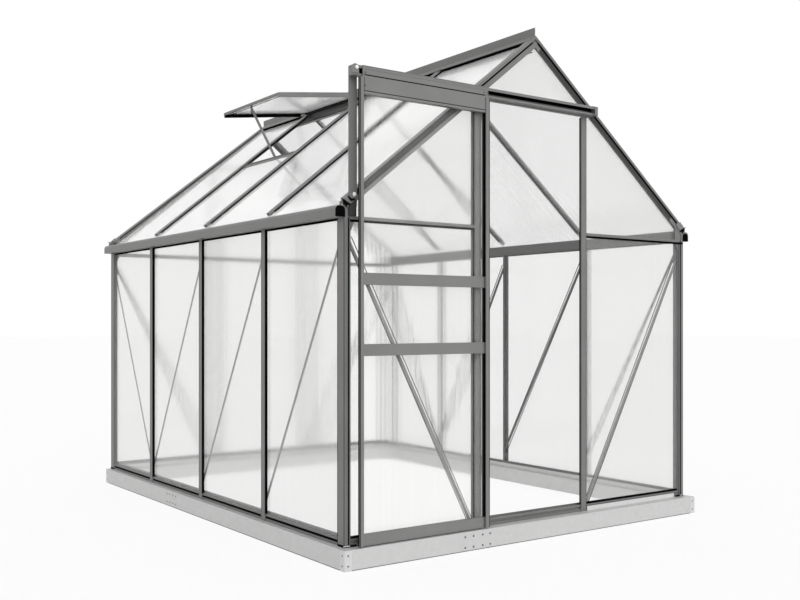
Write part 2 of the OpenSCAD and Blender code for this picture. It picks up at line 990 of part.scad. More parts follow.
module vent_sheet() {
    color("white", 0.4)
        on_leaf()
            span(12, vent_l - skin, vent_y0 + skin, vent_y1 - skin, -2, 2);
}

// cross rail that the closed leaf would rest on
module vent_sill() {
    y0 = stud_y[1] + half_core;
    y1 = stud_y[2] - half_core;
    w0 = stud_y[1] + inner_w / 2 + 1;
    w1 = stud_y[2] - inner_w / 2 - 1;
    s = vent_sill_s;
    color("gray")
        on_slope(-1) {
            span(s, s + 24, y0, y1, t_core, t_core + 3);
            span(s, s + 3, w0, w1, -vent_sill_d, t_core + eps);
            span(s, s + 3, y0, y1, t_core, -4);
            span(s - 10, s + eps, w0, w1, -vent_sill_d, 2 - vent_sill_d);
            // rest for the stay
            span(s, s + 3, stay_y - 9, stay_y + 9, -stay_rest, eps - vent_sill_d);
            span(s - 24, s + eps, stay_y - 9, stay_y + 9, -stay_rest, rest_t);
        }
}

// flat bar that props the leaf open
module vent_stay() {
    // top end under the free edge, bottom end on the rest
    u = vent_l - 9;
    tx = hinge_x - u * cos(vent_drop) - (7 + seat) * sin(vent_drop);
    tz = hinge_z - u * sin(vent_drop) - (7 + seat) * cos(vent_drop);
    bs = vent_sill_s - 15;
    bx = -(bs * gcp + rest_t * gsp);
    bz = apex_z - bs * gsp + rest_t * gcp;
    d = stay_w / 2;
    e = 5;
    color("gray")
        along_y(stay_y - 2, stay_y + 2)
            polygon([[tx - e * cos(vent_drop), tz - e * sin(vent_drop)],
                [tx + e * cos(vent_drop), tz + e * sin(vent_drop)],
                [tx + e * cos(vent_drop) + 2, tz - 14], [bx + d, bz + d * glass_rise + 12],
                [bx + d, bz + d * glass_rise], [bx - d, bz - d * glass_rise],
                [bx - d, bz - d * glass_rise + 12], [tx - e * cos(vent_drop) - 1, tz - 16]]);
}

// ---------------------------------------------------------------- track

module door_track() {
    z0 = track_z;
    z1 = track_z + track_h;
    t = track_t;
    lo = 6;
    hi = 11;
    color("gray") {
        span(track_x0, track_end, track_y0, track_y1, z0, z0 + t);
        span(track_x0, track_end, track_y0, track_y1, z1 - t, z1);
        span(track_x0, track_end, track_y1 - t, track_y1, z0 + t - eps, z1 - t + eps);
        // lips above and below the slot that the rollers' pins pass
        span(track_x0, track_end, track_y0, track_y0 + 2, z1 - hi, z1 - t + eps);
        span(track_x0, track_end, track_y0, track_y0 + 2, z0 + t - eps, z0 + lo);
        // stops in both ends
        span(track_end - 12, track_end, track_y0 + 3, track_y1 - t + eps, z0 + t - eps, z1 - t + eps);
        span(track_x0, track_x0 + 12, track_y0 + 3, track_y1 - t + eps, z0 + t - eps, z1 - t + eps);
    }
}

// bar that carries the free end of the track, its strap, and the track's end plates
module track_support() {
    x0 = track_x0;
    x1 = track_x0 + bar_w;
    zt = track_z + track_h;
    zb = roof_z(x0, -rafter_d + 6);
    px = x0 - 8;
    r = end_plate_w / 2;
    color("gray") {
        span(x0, x1, gf - bar_t, gf, zb, zt);
        // strap over the rafter's foot
        along_y(gf - bar_t - 2.5, gf - bar_t)
            polygon([[-xw, roof_z(xw, -1)], [-xw + 10, roof_z(xw - 10, -30)],
                [x1, roof_z(x1, -30)], [x1, roof_z(x1, -1)]]);
        // rounded plate in front of the left end
        along_y(track_y0 - 3, track_y0)
            union() {
                translate([px, track_z + 6])
                    square([end_plate_w, track_h - 6 - r + 3]);
                translate([px + r, zt + 3 - r])
                    circle(r = r);
            }
        // square plate in front of the right end
        span(track_end - 17, track_end, track_y0 - 3, track_y0, track_z, zt);
    }
}

// ---------------------------------------------------------------- door

// cross-section of a stile: X runs inward from its outer edge, Y back from the
// door's front; the thin face stands out and the sheet sits in a pocket behind it
module stile_profile() {
    lip = 2;
    d = door_sheet_y - door_y0;
    square([stile_w, skin]);
    translate([stile_w - stile_web, skin - eps])
        square([stile_web, d - lip - skin + 2 * eps]);
    difference() {
        translate([stile_w - stile_web - 1.5, d - lip])
            square([stile_web + 1.5 + stile_lip, door_d - d + lip]);
        translate([stile_w - stile_web, d])
            square([stile_web + stile_lip + 1, sheet_t]);
    }
}

module door_stiles() {
    color("gray") {
        translate([door_x0, door_y0, door_z0])
            linear_extrude(height = door_top_z - door_z0)
                stile_profile();
        translate([door_x1, door_y0, door_z0])
            mirror([1, 0, 0])
                linear_extrude(height = door_top_z - door_z0)
                    stile_profile();
    }
}

// rail between the stiles, with sheet slots in the edges that need one
module door_rail(z0, z1, below, above) {
    x0 = rail_x0;
    x1 = rail_x1;
    difference() {
        span(x0, x1, rail_y0, door_y1, z0, z1);
        span(x0 - 1, x1 + 1, rail_y0 + 2.5, door_sheet_y - 1.5, z0 + 2.5, z1 - 2.5);
        if (below)
            span(x0 - 1, x1 + 1, door_sheet_y, door_sheet_y + sheet_t, z0 - 1, z0 + 8);
        if (above)
            span(x0 - 1, x1 + 1, door_sheet_y, door_sheet_y + sheet_t, z1 - 8, z1 + 1);
    }
}

module door_bottom_rail() {
    color("gray")
        door_rail(door_z0, door_z0 + door_rail_bot, false, true);
}

module door_mid_rails() {
    color("gray") {
        door_rail(door_mid_1, door_mid_1 + door_rail_mid, true, true);
        door_rail(door_mid_2, door_mid_2 + door_rail_mid, true, true);
    }
}

// cross-section of the hanger: X runs inward from the door's front, Y is up
module hanger_profile(z0) {
    z1 = track_z + track_h;
    difference() {
        translate([0, z0])
            square([skin, z1 - z0]);
        // the face under the strip stands a little back
        translate([-eps, z0 - 1])
            square([1, hanger_z - z0 + 1]);
        // groove under the strip
        translate([-eps, hanger_z - 4])
            square([1.8, 4]);
        // two reeds along the strip
        translate([-eps, z1 - 4.5])
            square([1, 2]);
        translate([-eps, z1 - 15])
            square([1, 2]);
    }
}

// top rail and the hanger in front of the track, in one
module door_top_rail() {
    x0 = rail_x0;
    x1 = rail_x1;
    y0 = door_y0 + 1;
    zg = door_top_0 + 8.5;
    color("gray") {
        difference() {
            span(x0, x1, y0, door_y1, door_top_0, door_top_z);
            span(x0 - 1, x1 + 1, y0 + 2.5, door_sheet_y - 1.5, zg + 5.5, door_top_z - 2.5);
            span(x0 - 1, x1 + 1, y0 + 5, door_sheet_y - 1.5, door_top_0 + 2.5, zg + 6);
            span(x0 - 1, x1 + 1, door_sheet_y, door_sheet_y + sheet_t, door_top_0 - 1, door_top_0 + 8);
            // groove along the lower edge
            span(x0 - 1, x1 + 1, y0 - 1, y0 + 2.5, zg, zg + 3);
        }
        translate([0, door_y0, 0])
            along_x(x0, x1)
                hanger_profile(door_top_z - eps);
        // the strip's ends over the stiles
        translate([0, door_y0, 0]) {
            along_x(hanger_x0, x0 + eps)
                hanger_profile(door_top_z + seat);
            along_x(x1 - eps, hanger_x1)
                hanger_profile(door_top_z + seat);
        }
    }
}

module door_sheets() {
    x0 = door_x0 + stile_w - stile_web + sheet_gap;
    x1 = door_x1 - stile_w + stile_web - sheet_gap;
    y0 = door_sheet_y;
    y1 = y0 + sheet_t;
    color("white", 0.4) {
        span(x0, x1, y0, y1, door_z0 + door_rail_bot - 8, door_mid_1 + 8);
        span(x0, x1, y0, y1, door_mid_1 + door_rail_mid - 8, door_mid_2 + 8);
        span(x0, x1, y0, y1, door_mid_2 + door_rail_mid - 8, door_top_0 + 8);
    }
}

// wheels on pins that stand out of the hanger plate into the track
module roller(x) {
    translate([x, door_y0 + skin, roller_z])
        rotate([-90, 0, 0]) {
            cylinder(r = 3, h = 18);
            translate([0, 0, 10])
                cylinder(r = roller_r, h = 8);
        }
}

module door_rollers() {
    color("black") {
        roller(roller_x0);
        roller(roller_x1);
    }
}

base_sides();
base_ends();
base_brackets();
sill_sides();
sill_ends();
corner_posts();
left_studs();
right_studs();
door_posts();
back_posts();
left_gutter();
right_gutter();
ridge();
front_rafters();
back_rafters();
left_roof_bars();
right_roof_bars();
front_crossbars();
back_crossbars();
side_braces();
gable_braces();
left_wall_sheets();
right_wall_sheets();
front_sheets();
back_sheets();
left_roof_sheets();
right_roof_sheets();
vent_frame();
vent_sheet();
vent_stay();
vent_sill();
door_track();
track_support();
door_stiles();
door_top_rail();
door_mid_rails();
door_bottom_rail();
door_sheets();
door_rollers();
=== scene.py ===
import bmesh
import bpy
from math import atan, cos, pi, radians, sin
from mathutils import Matrix, Vector


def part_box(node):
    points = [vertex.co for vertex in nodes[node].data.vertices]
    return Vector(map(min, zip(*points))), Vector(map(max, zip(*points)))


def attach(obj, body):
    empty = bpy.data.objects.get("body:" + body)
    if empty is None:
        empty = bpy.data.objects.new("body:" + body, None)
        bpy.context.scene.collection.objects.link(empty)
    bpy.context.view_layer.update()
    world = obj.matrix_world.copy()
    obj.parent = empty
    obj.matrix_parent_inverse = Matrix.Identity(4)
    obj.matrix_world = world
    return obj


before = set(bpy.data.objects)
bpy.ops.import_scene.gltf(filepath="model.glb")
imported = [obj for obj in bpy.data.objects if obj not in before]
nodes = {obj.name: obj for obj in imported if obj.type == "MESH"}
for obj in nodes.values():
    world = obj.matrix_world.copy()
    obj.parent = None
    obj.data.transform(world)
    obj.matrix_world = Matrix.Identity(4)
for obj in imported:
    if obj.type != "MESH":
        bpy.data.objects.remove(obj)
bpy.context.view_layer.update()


# ---- Standpoint: a person's chest height in front of the left corner, level,
# with the lens lifted a little instead of the camera tilted.
view = bpy.data.objects.new("standpoint", bpy.data.cameras.new("standpoint"))
view.data.lens = 45.19
view.data.sensor_width = 36
view.data.shift_y = 0.0274
view.data.clip_end = 200
view.location = (-2.9132, -4.3048, 0.9014)
view.rotation_euler = (radians(90), 0, radians(-35.52))
bpy.context.scene.collection.objects.link(view)
bpy.context.scene.camera = view


# ---- Floor: a wide pale sheet that the base stands on. Seen directly, in a
# reflection or through the panels it is white; its diffuse part keeps the shadow.
def new_node(tree, kind, **menus):
    """A shader node, with its menus set, such as operation or blend_type."""
    node = tree.nodes.new(kind)
    for menu, choice in menus.items():
        setattr(node, menu, choice)
    return node


def sees_white(tree):
    """1 for camera, glossy and transmission rays, 0 for the rays that light things."""
    path = new_node(tree, "ShaderNodeLightPath")
    first = new_node(tree, "ShaderNodeMath", operation="MAXIMUM")
    both = new_node(tree, "ShaderNodeMath", operation="MAXIMUM")
    tree.links.new(path.outputs["Is Camera Ray"], first.inputs[0])
    tree.links.new(path.outputs["Is Glossy Ray"], first.inputs[1])
    tree.links.new(first.outputs[0], both.inputs[0])
    tree.links.new(path.outputs["Is Transmission Ray"], both.inputs[1])
    return both.outputs[0]


def as_object(name, bm):
    """The finished bmesh as an object of the scene."""
    mesh = bpy.data.meshes.new(name)
    bm.to_mesh(mesh)
    bm.free()
    made = bpy.data.objects.new(name, mesh)
    bpy.context.scene.collection.objects.link(made)
    return made


floor_paper = bpy.data.materials.new("floor paper")
floor_paper.use_nodes = True
tree = floor_paper.node_tree
paper = tree.nodes["Principled BSDF"]
paper.inputs["Base Color"].default_value = (0.86, 0.86, 0.86, 1)
paper.inputs["Roughness"].default_value = 0.9
paper.inputs["Specular IOR Level"].default_value = 0.0
glow = new_node(tree, "ShaderNodeEmission")
glow.inputs["Strength"].default_value = 1.0
share = new_node(tree, "ShaderNodeMath", operation="MULTIPLY")
share.inputs[1].default_value = 0.84
tree.links.new(sees_white(tree), share.inputs[0])
blend = new_node(tree, "ShaderNodeMixShader")
tree.links.new(share.outputs[0], blend.inputs[0])
tree.links.new(paper.outputs[0], blend.inputs[1])
tree.links.new(glow.outputs[0], blend.inputs[2])
tree.links.new(blend.outputs[0], tree.nodes["Material Output"].inputs["Surface"])
bm = bmesh.new()
bmesh.ops.create_circle(bm, cap_ends=True, segments=96, radius=60)
floor = as_object("floor", bm)
floor.data.materials.append(floor_paper)


# ---- Light: an even pale sky all round, and a broad soft lamp high in front that
# makes the gable brighter than the long wall.
world = bpy.data.worlds.new("pale room")
bpy.context.scene.world = world
world.use_nodes = True
tree = world.node_tree
bpy.context.scene.view_settings.view_transform = "Standard"
room = tree.nodes["Background"]
room.inputs["Color"].default_value = (1, 1, 1, 1)
room.inputs["Strength"].default_value = 0.74
white = new_node(tree, "ShaderNodeBackground")
white.inputs["Color"].default_value = (1, 1, 1, 1)
white.inputs["Strength"].default_value = 1.0
pick = new_node(tree, "ShaderNodeMixShader")
tree.links.new(sees_white(tree), pick.inputs[0])
tree.links.new(room.outputs[0], pick.inputs[1])
tree.links.new(white.outputs[0], pick.inputs[2])
tree.links.new(pick.outputs[0], tree.nodes["World Output"].inputs["Surface"])

lamp = bpy.data.objects.new("soft lamp", bpy.data.lights.new("soft lamp", "SUN"))
lamp.data.energy = 1.5
lamp.data.angle = radians(50)
lamp.rotation_euler = Vector((-0.25, -0.85, 0.62)).to_track_quat("Z", "Y").to_euler()
bpy.context.scene.collection.objects.link(lamp)


# ---- Profile bars: extruded aluminium with a satin grey powder coat, screwed
# together through their slots. The coat has a fine orange-peel grain, and dust
# from handling lies on it in soft clouds.
def new_group(name, inputs, outputs):
    """An empty node group with these sockets, and its input and output nodes."""
    group = bpy.data.node_groups.new(name, "ShaderNodeTree")
    for label, kind, value in inputs:
        socket = group.interface.new_socket(label, in_out="INPUT", socket_type=kind)
        socket.default_value = value
    for label, kind in outputs:
        group.interface.new_socket(label, in_out="OUTPUT", socket_type=kind)
    return group, group.nodes.new("NodeGroupInput"), group.nodes.new("NodeGroupOutput")


SKIN = [("Color", "NodeSocketColor"), ("Roughness", "NodeSocketFloat"), ("Normal", "NodeSocketVector")]
coat, group_in, group_out = new_group(
    "powder coat",
    [("Coat", "NodeSocketColor", (0.25, 0.25, 0.245, 1)), ("Dust", "NodeSocketColor", (0.24, 0.24, 0.235, 1)),
     ("Grain", "NodeSocketFloat", 900.0), ("Peel", "NodeSocketFloat", 0.12)],
    SKIN)
place = new_node(coat, "ShaderNodeTexCoord")
grain = new_node(coat, "ShaderNodeTexNoise")
grain.inputs["Detail"].default_value = 2
coat.links.new(place.outputs["Object"], grain.inputs["Vector"])
coat.links.new(group_in.outputs["Grain"], grain.inputs["Scale"])
cloud = new_node(coat, "ShaderNodeTexNoise")
cloud.inputs["Scale"].default_value = 5
cloud.inputs["Detail"].default_value = 6
coat.links.new(place.outputs["Object"], cloud.inputs["Vector"])
lies = new_node(coat, "ShaderNodeMapRange")
lies.inputs["From Min"].default_value = 0.42
lies.inputs["From Max"].default_value = 0.8
lies.inputs["To Max"].default_value = 0.35
coat.links.new(cloud.outputs["Fac"], lies.inputs["Value"])
tint = new_node(coat, "ShaderNodeMix", data_type="RGBA")
coat.links.new(lies.outputs[0], tint.inputs["Factor"])
coat.links.new(group_in.outputs["Coat"], tint.inputs["A"])
coat.links.new(group_in.outputs["Dust"], tint.inputs["B"])
fleck = new_node(coat, "ShaderNodeMapRange")
fleck.inputs["To Min"].default_value = 0.9
fleck.inputs["To Max"].default_value = 1.1
coat.links.new(grain.outputs["Fac"], fleck.inputs["Value"])
shade = new_node(coat, "ShaderNodeMix", data_type="RGBA", blend_type="MULTIPLY")
shade.inputs["Factor"].default_value = 1
coat.links.new(tint.outputs["Result"], shade.inputs["A"])
coat.links.new(fleck.outputs[0], shade.inputs["B"])
satin = new_node(coat, "ShaderNodeMapRange")
satin.inputs["To Min"].default_value = 0.36
satin.inputs["To Max"].default_value = 0.56
coat.links.new(cloud.outputs["Fac"], satin.inputs["Value"])
peel = new_node(coat, "ShaderNodeBump")
peel.inputs["Distance"].default_value = 0.0004
coat.links.new(group_in.outputs["Peel"], peel.inputs["Strength"])
coat.links.new(grain.outputs["Fac"], peel.inputs["Height"])
coat.links.new(shade.outputs["Result"], group_out.inputs["Color"])
coat.links.new(satin.outputs[0], group_out.inputs["Roughness"])
coat.links.new(peel.outputs["Normal"], group_out.inputs["Normal"])


def with_skin(name, group, settings):
    """A material whose colour, roughness and normal come from a group, and its shader."""
    material = bpy.data.materials.new(name)
    material.use_nodes = True
    tree = material.node_tree
    skin = new_node(tree, "ShaderNodeGroup")
    skin.node_tree = group
    for label, value in settings.items():
        skin.inputs[label].default_value = value
    shader = tree.nodes["Principled BSDF"]
    tree.links.new(skin.outputs["Color"], shader.inputs["Base Color"])
    tree.links.new(skin.outputs["Roughness"], shader.inputs["Roughness"])
    tree.links.new(skin.outputs["Normal"], shader.inputs["Normal"])
    return material, shader


def give(material, *names):
    """The CAD nodes with these names get this material alone."""
    for name in names:
        mesh = nodes[name].data
        mesh.materials.clear()
        mesh.materials.append(material)


grey_bars, shader = with_skin("grey coated bars", coat, {"Coat": (0.146, 0.146, 0.143, 1)})
give(grey_bars, "sill_sides", "sill_ends", "corner_posts", "left_studs", "right_studs", "door_posts",
     "back_posts", "ridge", "front_rafters", "back_rafters", "left_roof_bars", "right_roof_bars",
     "front_crossbars", "back_crossbars")
grey_gutter, shader = with_skin("grey coated gutter", coat, {"Coat": (0.15, 0.15, 0.147, 1), "Grain": 700.0})
give(grey_gutter, "left_gutter", "right_gutter")
grey_door, shader = with_skin("grey coated door frame", coat, {"Coat": (0.165, 0.165, 0.162, 1)})
give(grey_door, "door_stiles", "door_top_rail", "door_mid_rails", "door_bottom_rail", "door_track",
     "track_support", "vent_frame", "vent_sill", "vent_stay")
grey_brace, shader = with_skin("mill finish braces", coat, {"Coat": (0.17, 0.17, 0.168, 1), "Grain": 1200.0})
shader.inputs["Metallic"].default_value = 0.3
give(grey_brace, "side_braces", "gable_braces")


# ---- Base rails: folded galvanised steel sheet, screwed at the corners and at
# the joints. Zinc crystals make faint patches, and rolling left fine streaks.
zinc, group_in, group_out = new_group(
    "galvanised sheet",
    [("Zinc", "NodeSocketColor", (0.56, 0.56, 0.555, 1)), ("Crystal", "NodeSocketFloat", 60.0)],
    SKIN)
place = new_node(zinc, "ShaderNodeTexCoord")
crystal = new_node(zinc, "ShaderNodeTexVoronoi")
zinc.links.new(place.outputs["Object"], crystal.inputs["Vector"])
zinc.links.new(group_in.outputs["Crystal"], crystal.inputs["Scale"])
face = new_node(zinc, "ShaderNodeSeparateColor")
zinc.links.new(crystal.outputs["Color"], face.inputs[0])
stretch = new_node(zinc, "ShaderNodeMapping")
stretch.inputs["Scale"].default_value = (2.0, 2.0, 60.0)
zinc.links.new(place.outputs["Object"], stretch.inputs["Vector"])
streak = new_node(zinc, "ShaderNodeTexNoise")
streak.inputs["Scale"].default_value = 3
streak.inputs["Detail"].default_value = 5
zinc.links.new(stretch.outputs[0], streak.inputs["Vector"])
blotch = new_node(zinc, "ShaderNodeTexNoise")
blotch.inputs["Scale"].default_value = 14
blotch.inputs["Detail"].default_value = 4
zinc.links.new(place.outputs["Object"], blotch.inputs["Vector"])
# crystals, streaks and blotches each add a little brightness to the darkest tone
patterns = ((face.outputs[0], 0.035), (streak.outputs["Fac"], 0.06), (blotch.outputs["Fac"], 0.035))
tone = None
for pattern, amount in patterns:
    added = new_node(zinc, "ShaderNodeMath", operation="MULTIPLY_ADD")
    added.inputs[1].default_value = amount
    added.inputs[2].default_value = 0.93
    zinc.links.new(pattern, added.inputs[0])
    if tone:
        zinc.links.new(tone.outputs[0], added.inputs[2])
    tone = added
shade = new_node(zinc, "ShaderNodeMix", data_type="RGBA", blend_type="MULTIPLY")
shade.inputs["Factor"].default_value = 1
zinc.links.new(group_in.outputs["Zinc"], shade.inputs["A"])
zinc.links.new(tone.outputs[0], shade.inputs["B"])
rough = new_node(zinc, "ShaderNodeMapRange")
rough.inputs["To Min"].default_value = 0.42
rough.inputs["To Max"].default_value = 0.62
zinc.links.new(face.outputs[1], rough.inputs["Value"])
rolled = new_node(zinc, "ShaderNodeBump")
rolled.inputs["Strength"].default_value = 0.15
rolled.inputs["Distance"].default_value = 0.0006
zinc.links.new(streak.outputs["Fac"], rolled.inputs["Height"])
zinc.links.new(shade.outputs["Result"], group_out.inputs["Color"])
zinc.links.new(rough.outputs[0], group_out.inputs["Roughness"])
zinc.links.new(rolled.outputs["Normal"], group_out.inputs["Normal"])
galvanised, shader = with_skin("galvanised base", zinc, {"Zinc": (0.55, 0.55, 0.547, 1)})
shader.inputs["Metallic"].default_value = 0.35
give(galvanised, "base_sides", "base_ends")
# the same bright zinc also paints the highlight along the base rails' top edge
bright_zinc_and_highlight, shader = with_skin(
    "galvanised corner strips and painted highlight", zinc, {"Zinc": (0.6, 0.6, 0.597, 1), "Crystal": 90.0})
shader.inputs["Metallic"].default_value = 0.35
give(bright_zinc_and_highlight, "base_brackets")
# painted light: bright zinc for the shaded inner sides of the base and sills
painted_light_zinc, shader = with_skin(
    "painted light zinc", zinc, {"Zinc": (0.62, 0.62, 0.617, 1), "Crystal": 50.0})
shader.inputs["Metallic"].default_value = 0.1


# ---- Panels: extruded twin-wall polycarbonate, two thin skins joined by ribs a
# few millimetres apart. The ribs run up the walls and down the roof, bend the
# light sideways and leave faint upright streaks.
ribs, group_in, group_out = new_group(
    "twin wall ribs",
    [("Across", "NodeSocketFloat", 0.0), ("Spacing", "NodeSocketFloat", 0.0058),
     ("Darkest", "NodeSocketFloat", 0.96)],
    [("Height", "NodeSocketFloat"), ("Tint", "NodeSocketColor")])
turns = new_node(ribs, "ShaderNodeMath", operation="DIVIDE")
ribs.links.new(group_in.outputs["Across"], turns.inputs[0])
ribs.links.new(group_in.outputs["Spacing"], turns.inputs[1])
angle = new_node(ribs, "ShaderNodeMath", operation="MULTIPLY")
angle.inputs[1].default_value = 2 * pi
ribs.links.new(turns.outputs[0], angle.inputs[0])
wave = new_node(ribs, "ShaderNodeMath", operation="SINE")
ribs.links.new(angle.outputs[0], wave.inputs[0])
uneven = new_node(ribs, "ShaderNodeTexNoise", noise_dimensions="1D")
uneven.inputs["Scale"].default_value = 45
uneven.inputs["Detail"].default_value = 5
ribs.links.new(group_in.outputs["Across"], uneven.inputs["W"])
rise = new_node(ribs, "ShaderNodeMath", operation="MULTIPLY")
ribs.links.new(wave.outputs[0], rise.inputs[0])
ribs.links.new(uneven.outputs["Fac"], rise.inputs[1])
lane = new_node(ribs, "ShaderNodeMapRange")
lane.inputs["From Min"].default_value = 0.3
lane.inputs["From Max"].default_value = 0.7
lane.inputs["To Max"].default_value = 1.0
ribs.links.new(group_in.outputs["Darkest"], lane.inputs["To Min"])
ribs.links.new(uneven.outputs["Fac"], lane.inputs["Value"])
ribs.links.new(rise.outputs[0], group_out.inputs["Height"])
ribs.links.new(lane.outputs[0], group_out.inputs["Tint"])


def twin_wall(name, across, clear, rough, milk, darkest, bend=0.00003, ior=1.3):
    """Panel material: across is the axis that the ribs are spaced along."""
    material = bpy.data.materials.new(name)
    material.use_nodes = True
    tree = material.node_tree
    where = new_node(tree, "ShaderNodeTexCoord")
    axes = new_node(tree, "ShaderNodeSeparateXYZ")
    tree.links.new(where.outputs["Object"], axes.inputs[0])
    group = new_node(tree, "ShaderNodeGroup")
    group.node_tree = ribs
    group.inputs["Darkest"].default_value = darkest
    tree.links.new(axes.outputs[across], group.inputs["Across"])
    dent = new_node(tree, "ShaderNodeBump")
    dent.inputs["Strength"].default_value = 1.0
    dent.inputs["Distance"].default_value = bend
    tree.links.new(group.outputs["Height"], dent.inputs["Height"])
    colour = new_node(tree, "ShaderNodeMix", data_type="RGBA", blend_type="MULTIPLY")
    colour.inputs["Factor"].default_value = 1
    colour.inputs["A"].default_value = (*clear, 1)
    tree.links.new(group.outputs["Tint"], colour.inputs["B"])
    shader = tree.nodes["Principled BSDF"]
    tree.links.new(colour.outputs["Result"], shader.inputs["Base Color"])
    tree.links.new(dent.outputs["Normal"], shader.inputs["Normal"])
    shader.inputs["Roughness"].default_value = rough
    shader.inputs["IOR"].default_value = ior
    shader.inputs["Transmission Weight"].default_value = 1 - milk
    # most of the light passes straight through, so the panels' own shadow stays pale
    path = new_node(tree, "ShaderNodeLightPath")
    through = new_node(tree, "ShaderNodeBsdfTransparent")
    through.inputs["Color"].default_value = (0.9, 0.9, 0.9, 1)
    mix = new_node(tree, "ShaderNodeMixShader")
    tree.links.new(path.outputs["Is Shadow Ray"], mix.inputs[0])
    tree.links.new(shader.outputs[0], mix.inputs[1])
    tree.links.new(through.outputs[0], mix.inputs[2])
    tree.links.new(mix.outputs[0], tree.nodes["Material Output"].inputs["Surface"])
    return material


wall_panels = twin_wall(
    "long wall panels", "Y", clear=(0.922, 0.922, 0.917), rough=0.08, milk=0.09, darkest=0.985)
give(wall_panels, "left_wall_sheets", "right_wall_sheets")
roof_panels = twin_wall("roof panels", "Y", clear=(0.998, 0.998, 0.996), rough=0.025, milk=0.25, darkest=0.99)
give(roof_panels, "left_roof_sheets", "right_roof_sheets")
vent_panel = twin_wall("vent panel", "Y", clear=(0.99, 0.99, 0.988), rough=0.1, milk=0.3, darkest=0.97)
give(vent_panel, "vent_sheet")
gable_panels = twin_wall(
    "gable panels", "X", clear=(0.968, 0.968, 0.963), rough=0.06, milk=0.035, darkest=0.985)
give(gable_panels, "front_sheets", "back_sheets")
door_panels = twin_wall(
    "door panels", "X", clear=(0.995, 0.995, 0.99), rough=0.02, milk=0.02, darkest=0.988,
    bend=0.00005, ior=1.15)
give(door_panels, "door_sheets")


# ---- Door rollers: moulded black nylon wheels that turn on pins in the door's top
# rail and run in the track. The moulding is matt, and a little paler in patches.
nylon, group_in, group_out = new_group(
    "moulded black",
    [("Black", "NodeSocketColor", (0.018, 0.018, 0.018, 1)),
     ("Bloom", "NodeSocketColor", (0.05, 0.05, 0.05, 1))],
    SKIN)
place = new_node(nylon, "ShaderNodeTexCoord")
mottle = new_node(nylon, "ShaderNodeTexNoise")
mottle.inputs["Scale"].default_value = 40
mottle.inputs["Detail"].default_value = 5
nylon.links.new(place.outputs["Object"], mottle.inputs["Vector"])
tint = new_node(nylon, "ShaderNodeMix", data_type="RGBA")
nylon.links.new(mottle.outputs["Fac"], tint.inputs["Factor"])
nylon.links.new(group_in.outputs["Black"], tint.inputs["A"])
nylon.links.new(group_in.outputs["Bloom"], tint.inputs["B"])
dull = new_node(nylon, "ShaderNodeMapRange")
dull.inputs["To Min"].default_value = 0.5
dull.inputs["To Max"].default_value = 0.75
nylon.links.new(mottle.outputs["Fac"], dull.inputs["Value"])
pore = new_node(nylon, "ShaderNodeBump")
pore.inputs["Strength"].default_value = 0.1
pore.inputs["Distance"].default_value = 0.0005
nylon.links.new(mottle.outputs["Fac"], pore.inputs["Height"])
nylon.links.new(tint.outputs["Result"], group_out.inputs["Color"])
nylon.links.new(dull.outputs[0], group_out.inputs["Roughness"])
nylon.links.new(pore.outputs["Normal"], group_out.inputs["Normal"])
black_nylon, shader = with_skin(
    "black nylon", nylon, {"Black": (0.004, 0.004, 0.004, 1), "Bloom": (0.008, 0.008, 0.008, 1)})
shader.inputs["Specular IOR Level"].default_value = 0.05
give(black_nylon, "door_rollers")


# ---- Wall bar gaskets: black rubber lips pressed into the slots of the upright
# bars, so that a dark line runs along both sides of every bar's face.
X_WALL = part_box("right_studs")[1].x
Y_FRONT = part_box("door_posts")[0].y
Y_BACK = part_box("back_posts")[1].y
Z_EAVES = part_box("left_studs")[1].z
Z_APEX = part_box("front_rafters")[1].z
HALF_BAR = 0.0165
STUDS = (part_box("left_studs")[0].y + HALF_BAR, 0.048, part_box("left_studs")[1].y - HALF_BAR)
ROOF_RISE, RAFTER_RISE = 0.807, 0.79
Z_POST_FOOT, Z_SHEET_FOOT, Z_SILL_LIP, Z_DOOR_HEAD = 0.0845, 0.0985, 0.1062, 1.79
Z_BAR_TOP = Z_EAVES - 0.0005
SHEET_FACE = 0.0117


def long_side(s, x):
    """Place on the left (-1) or right (1) side, with the coordinates (inward, along, up)."""
    return Matrix.Translation((s * x, 0, 0)) @ Matrix.Diagonal((-s, 1, 1, 1))


def gable_side(s, y):
    """Place at the front (-1) or back (1), with the coordinates (across, inward, up)."""
    return Matrix.Translation((0, s * y, 0)) @ Matrix.Diagonal((1, -s, 1, 1))


def down_slope(s, rise):
    """Place at the apex, with the coordinates (down the slope, along, out of it)."""
    turned = Matrix.Translation((0, 0, Z_APEX)) @ Matrix.Rotation(atan(rise), 4, "Y")
    return Matrix.Diagonal((s, 1, 1, 1)) @ turned


def strip(bm, place, low, high, soft=0.0004):
    """A bar with rounded edges from low to high, in the coordinates of a place."""
    low, high = Vector(low), Vector(high)
    there = Matrix.Translation((low + high) / 2) @ Matrix.Diagonal((*(high - low), 1))
    made = bmesh.ops.create_cube(bm, size=1, matrix=place @ there)
    edges = list({e for v in made["verts"] for e in v.link_edges})
    bmesh.ops.bevel(bm, geom=edges, offset=soft, segments=2, profile=0.5, affect="EDGES", material=-1)


def both_sides(near, far):
    """The stretches from near to far on the two sides of a middle line."""
    return (-far, -near), (near, far)


def gable_bar_top(x):
    """Upper end of the upright bar at x in a gable, under the rafter and the door's head."""
    return min(Z_APEX - abs(x) * RAFTER_RISE - 0.06, Z_DOOR_HEAD)


def as_piece(name, bm, material, body):
    """The finished bmesh as a piece of the object, with its normals outward."""
    bmesh.ops.recalc_face_normals(bm, faces=bm.faces)
    made = as_object(name, bm)
    made.data.materials.append(material)
    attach(made, body)
    return made


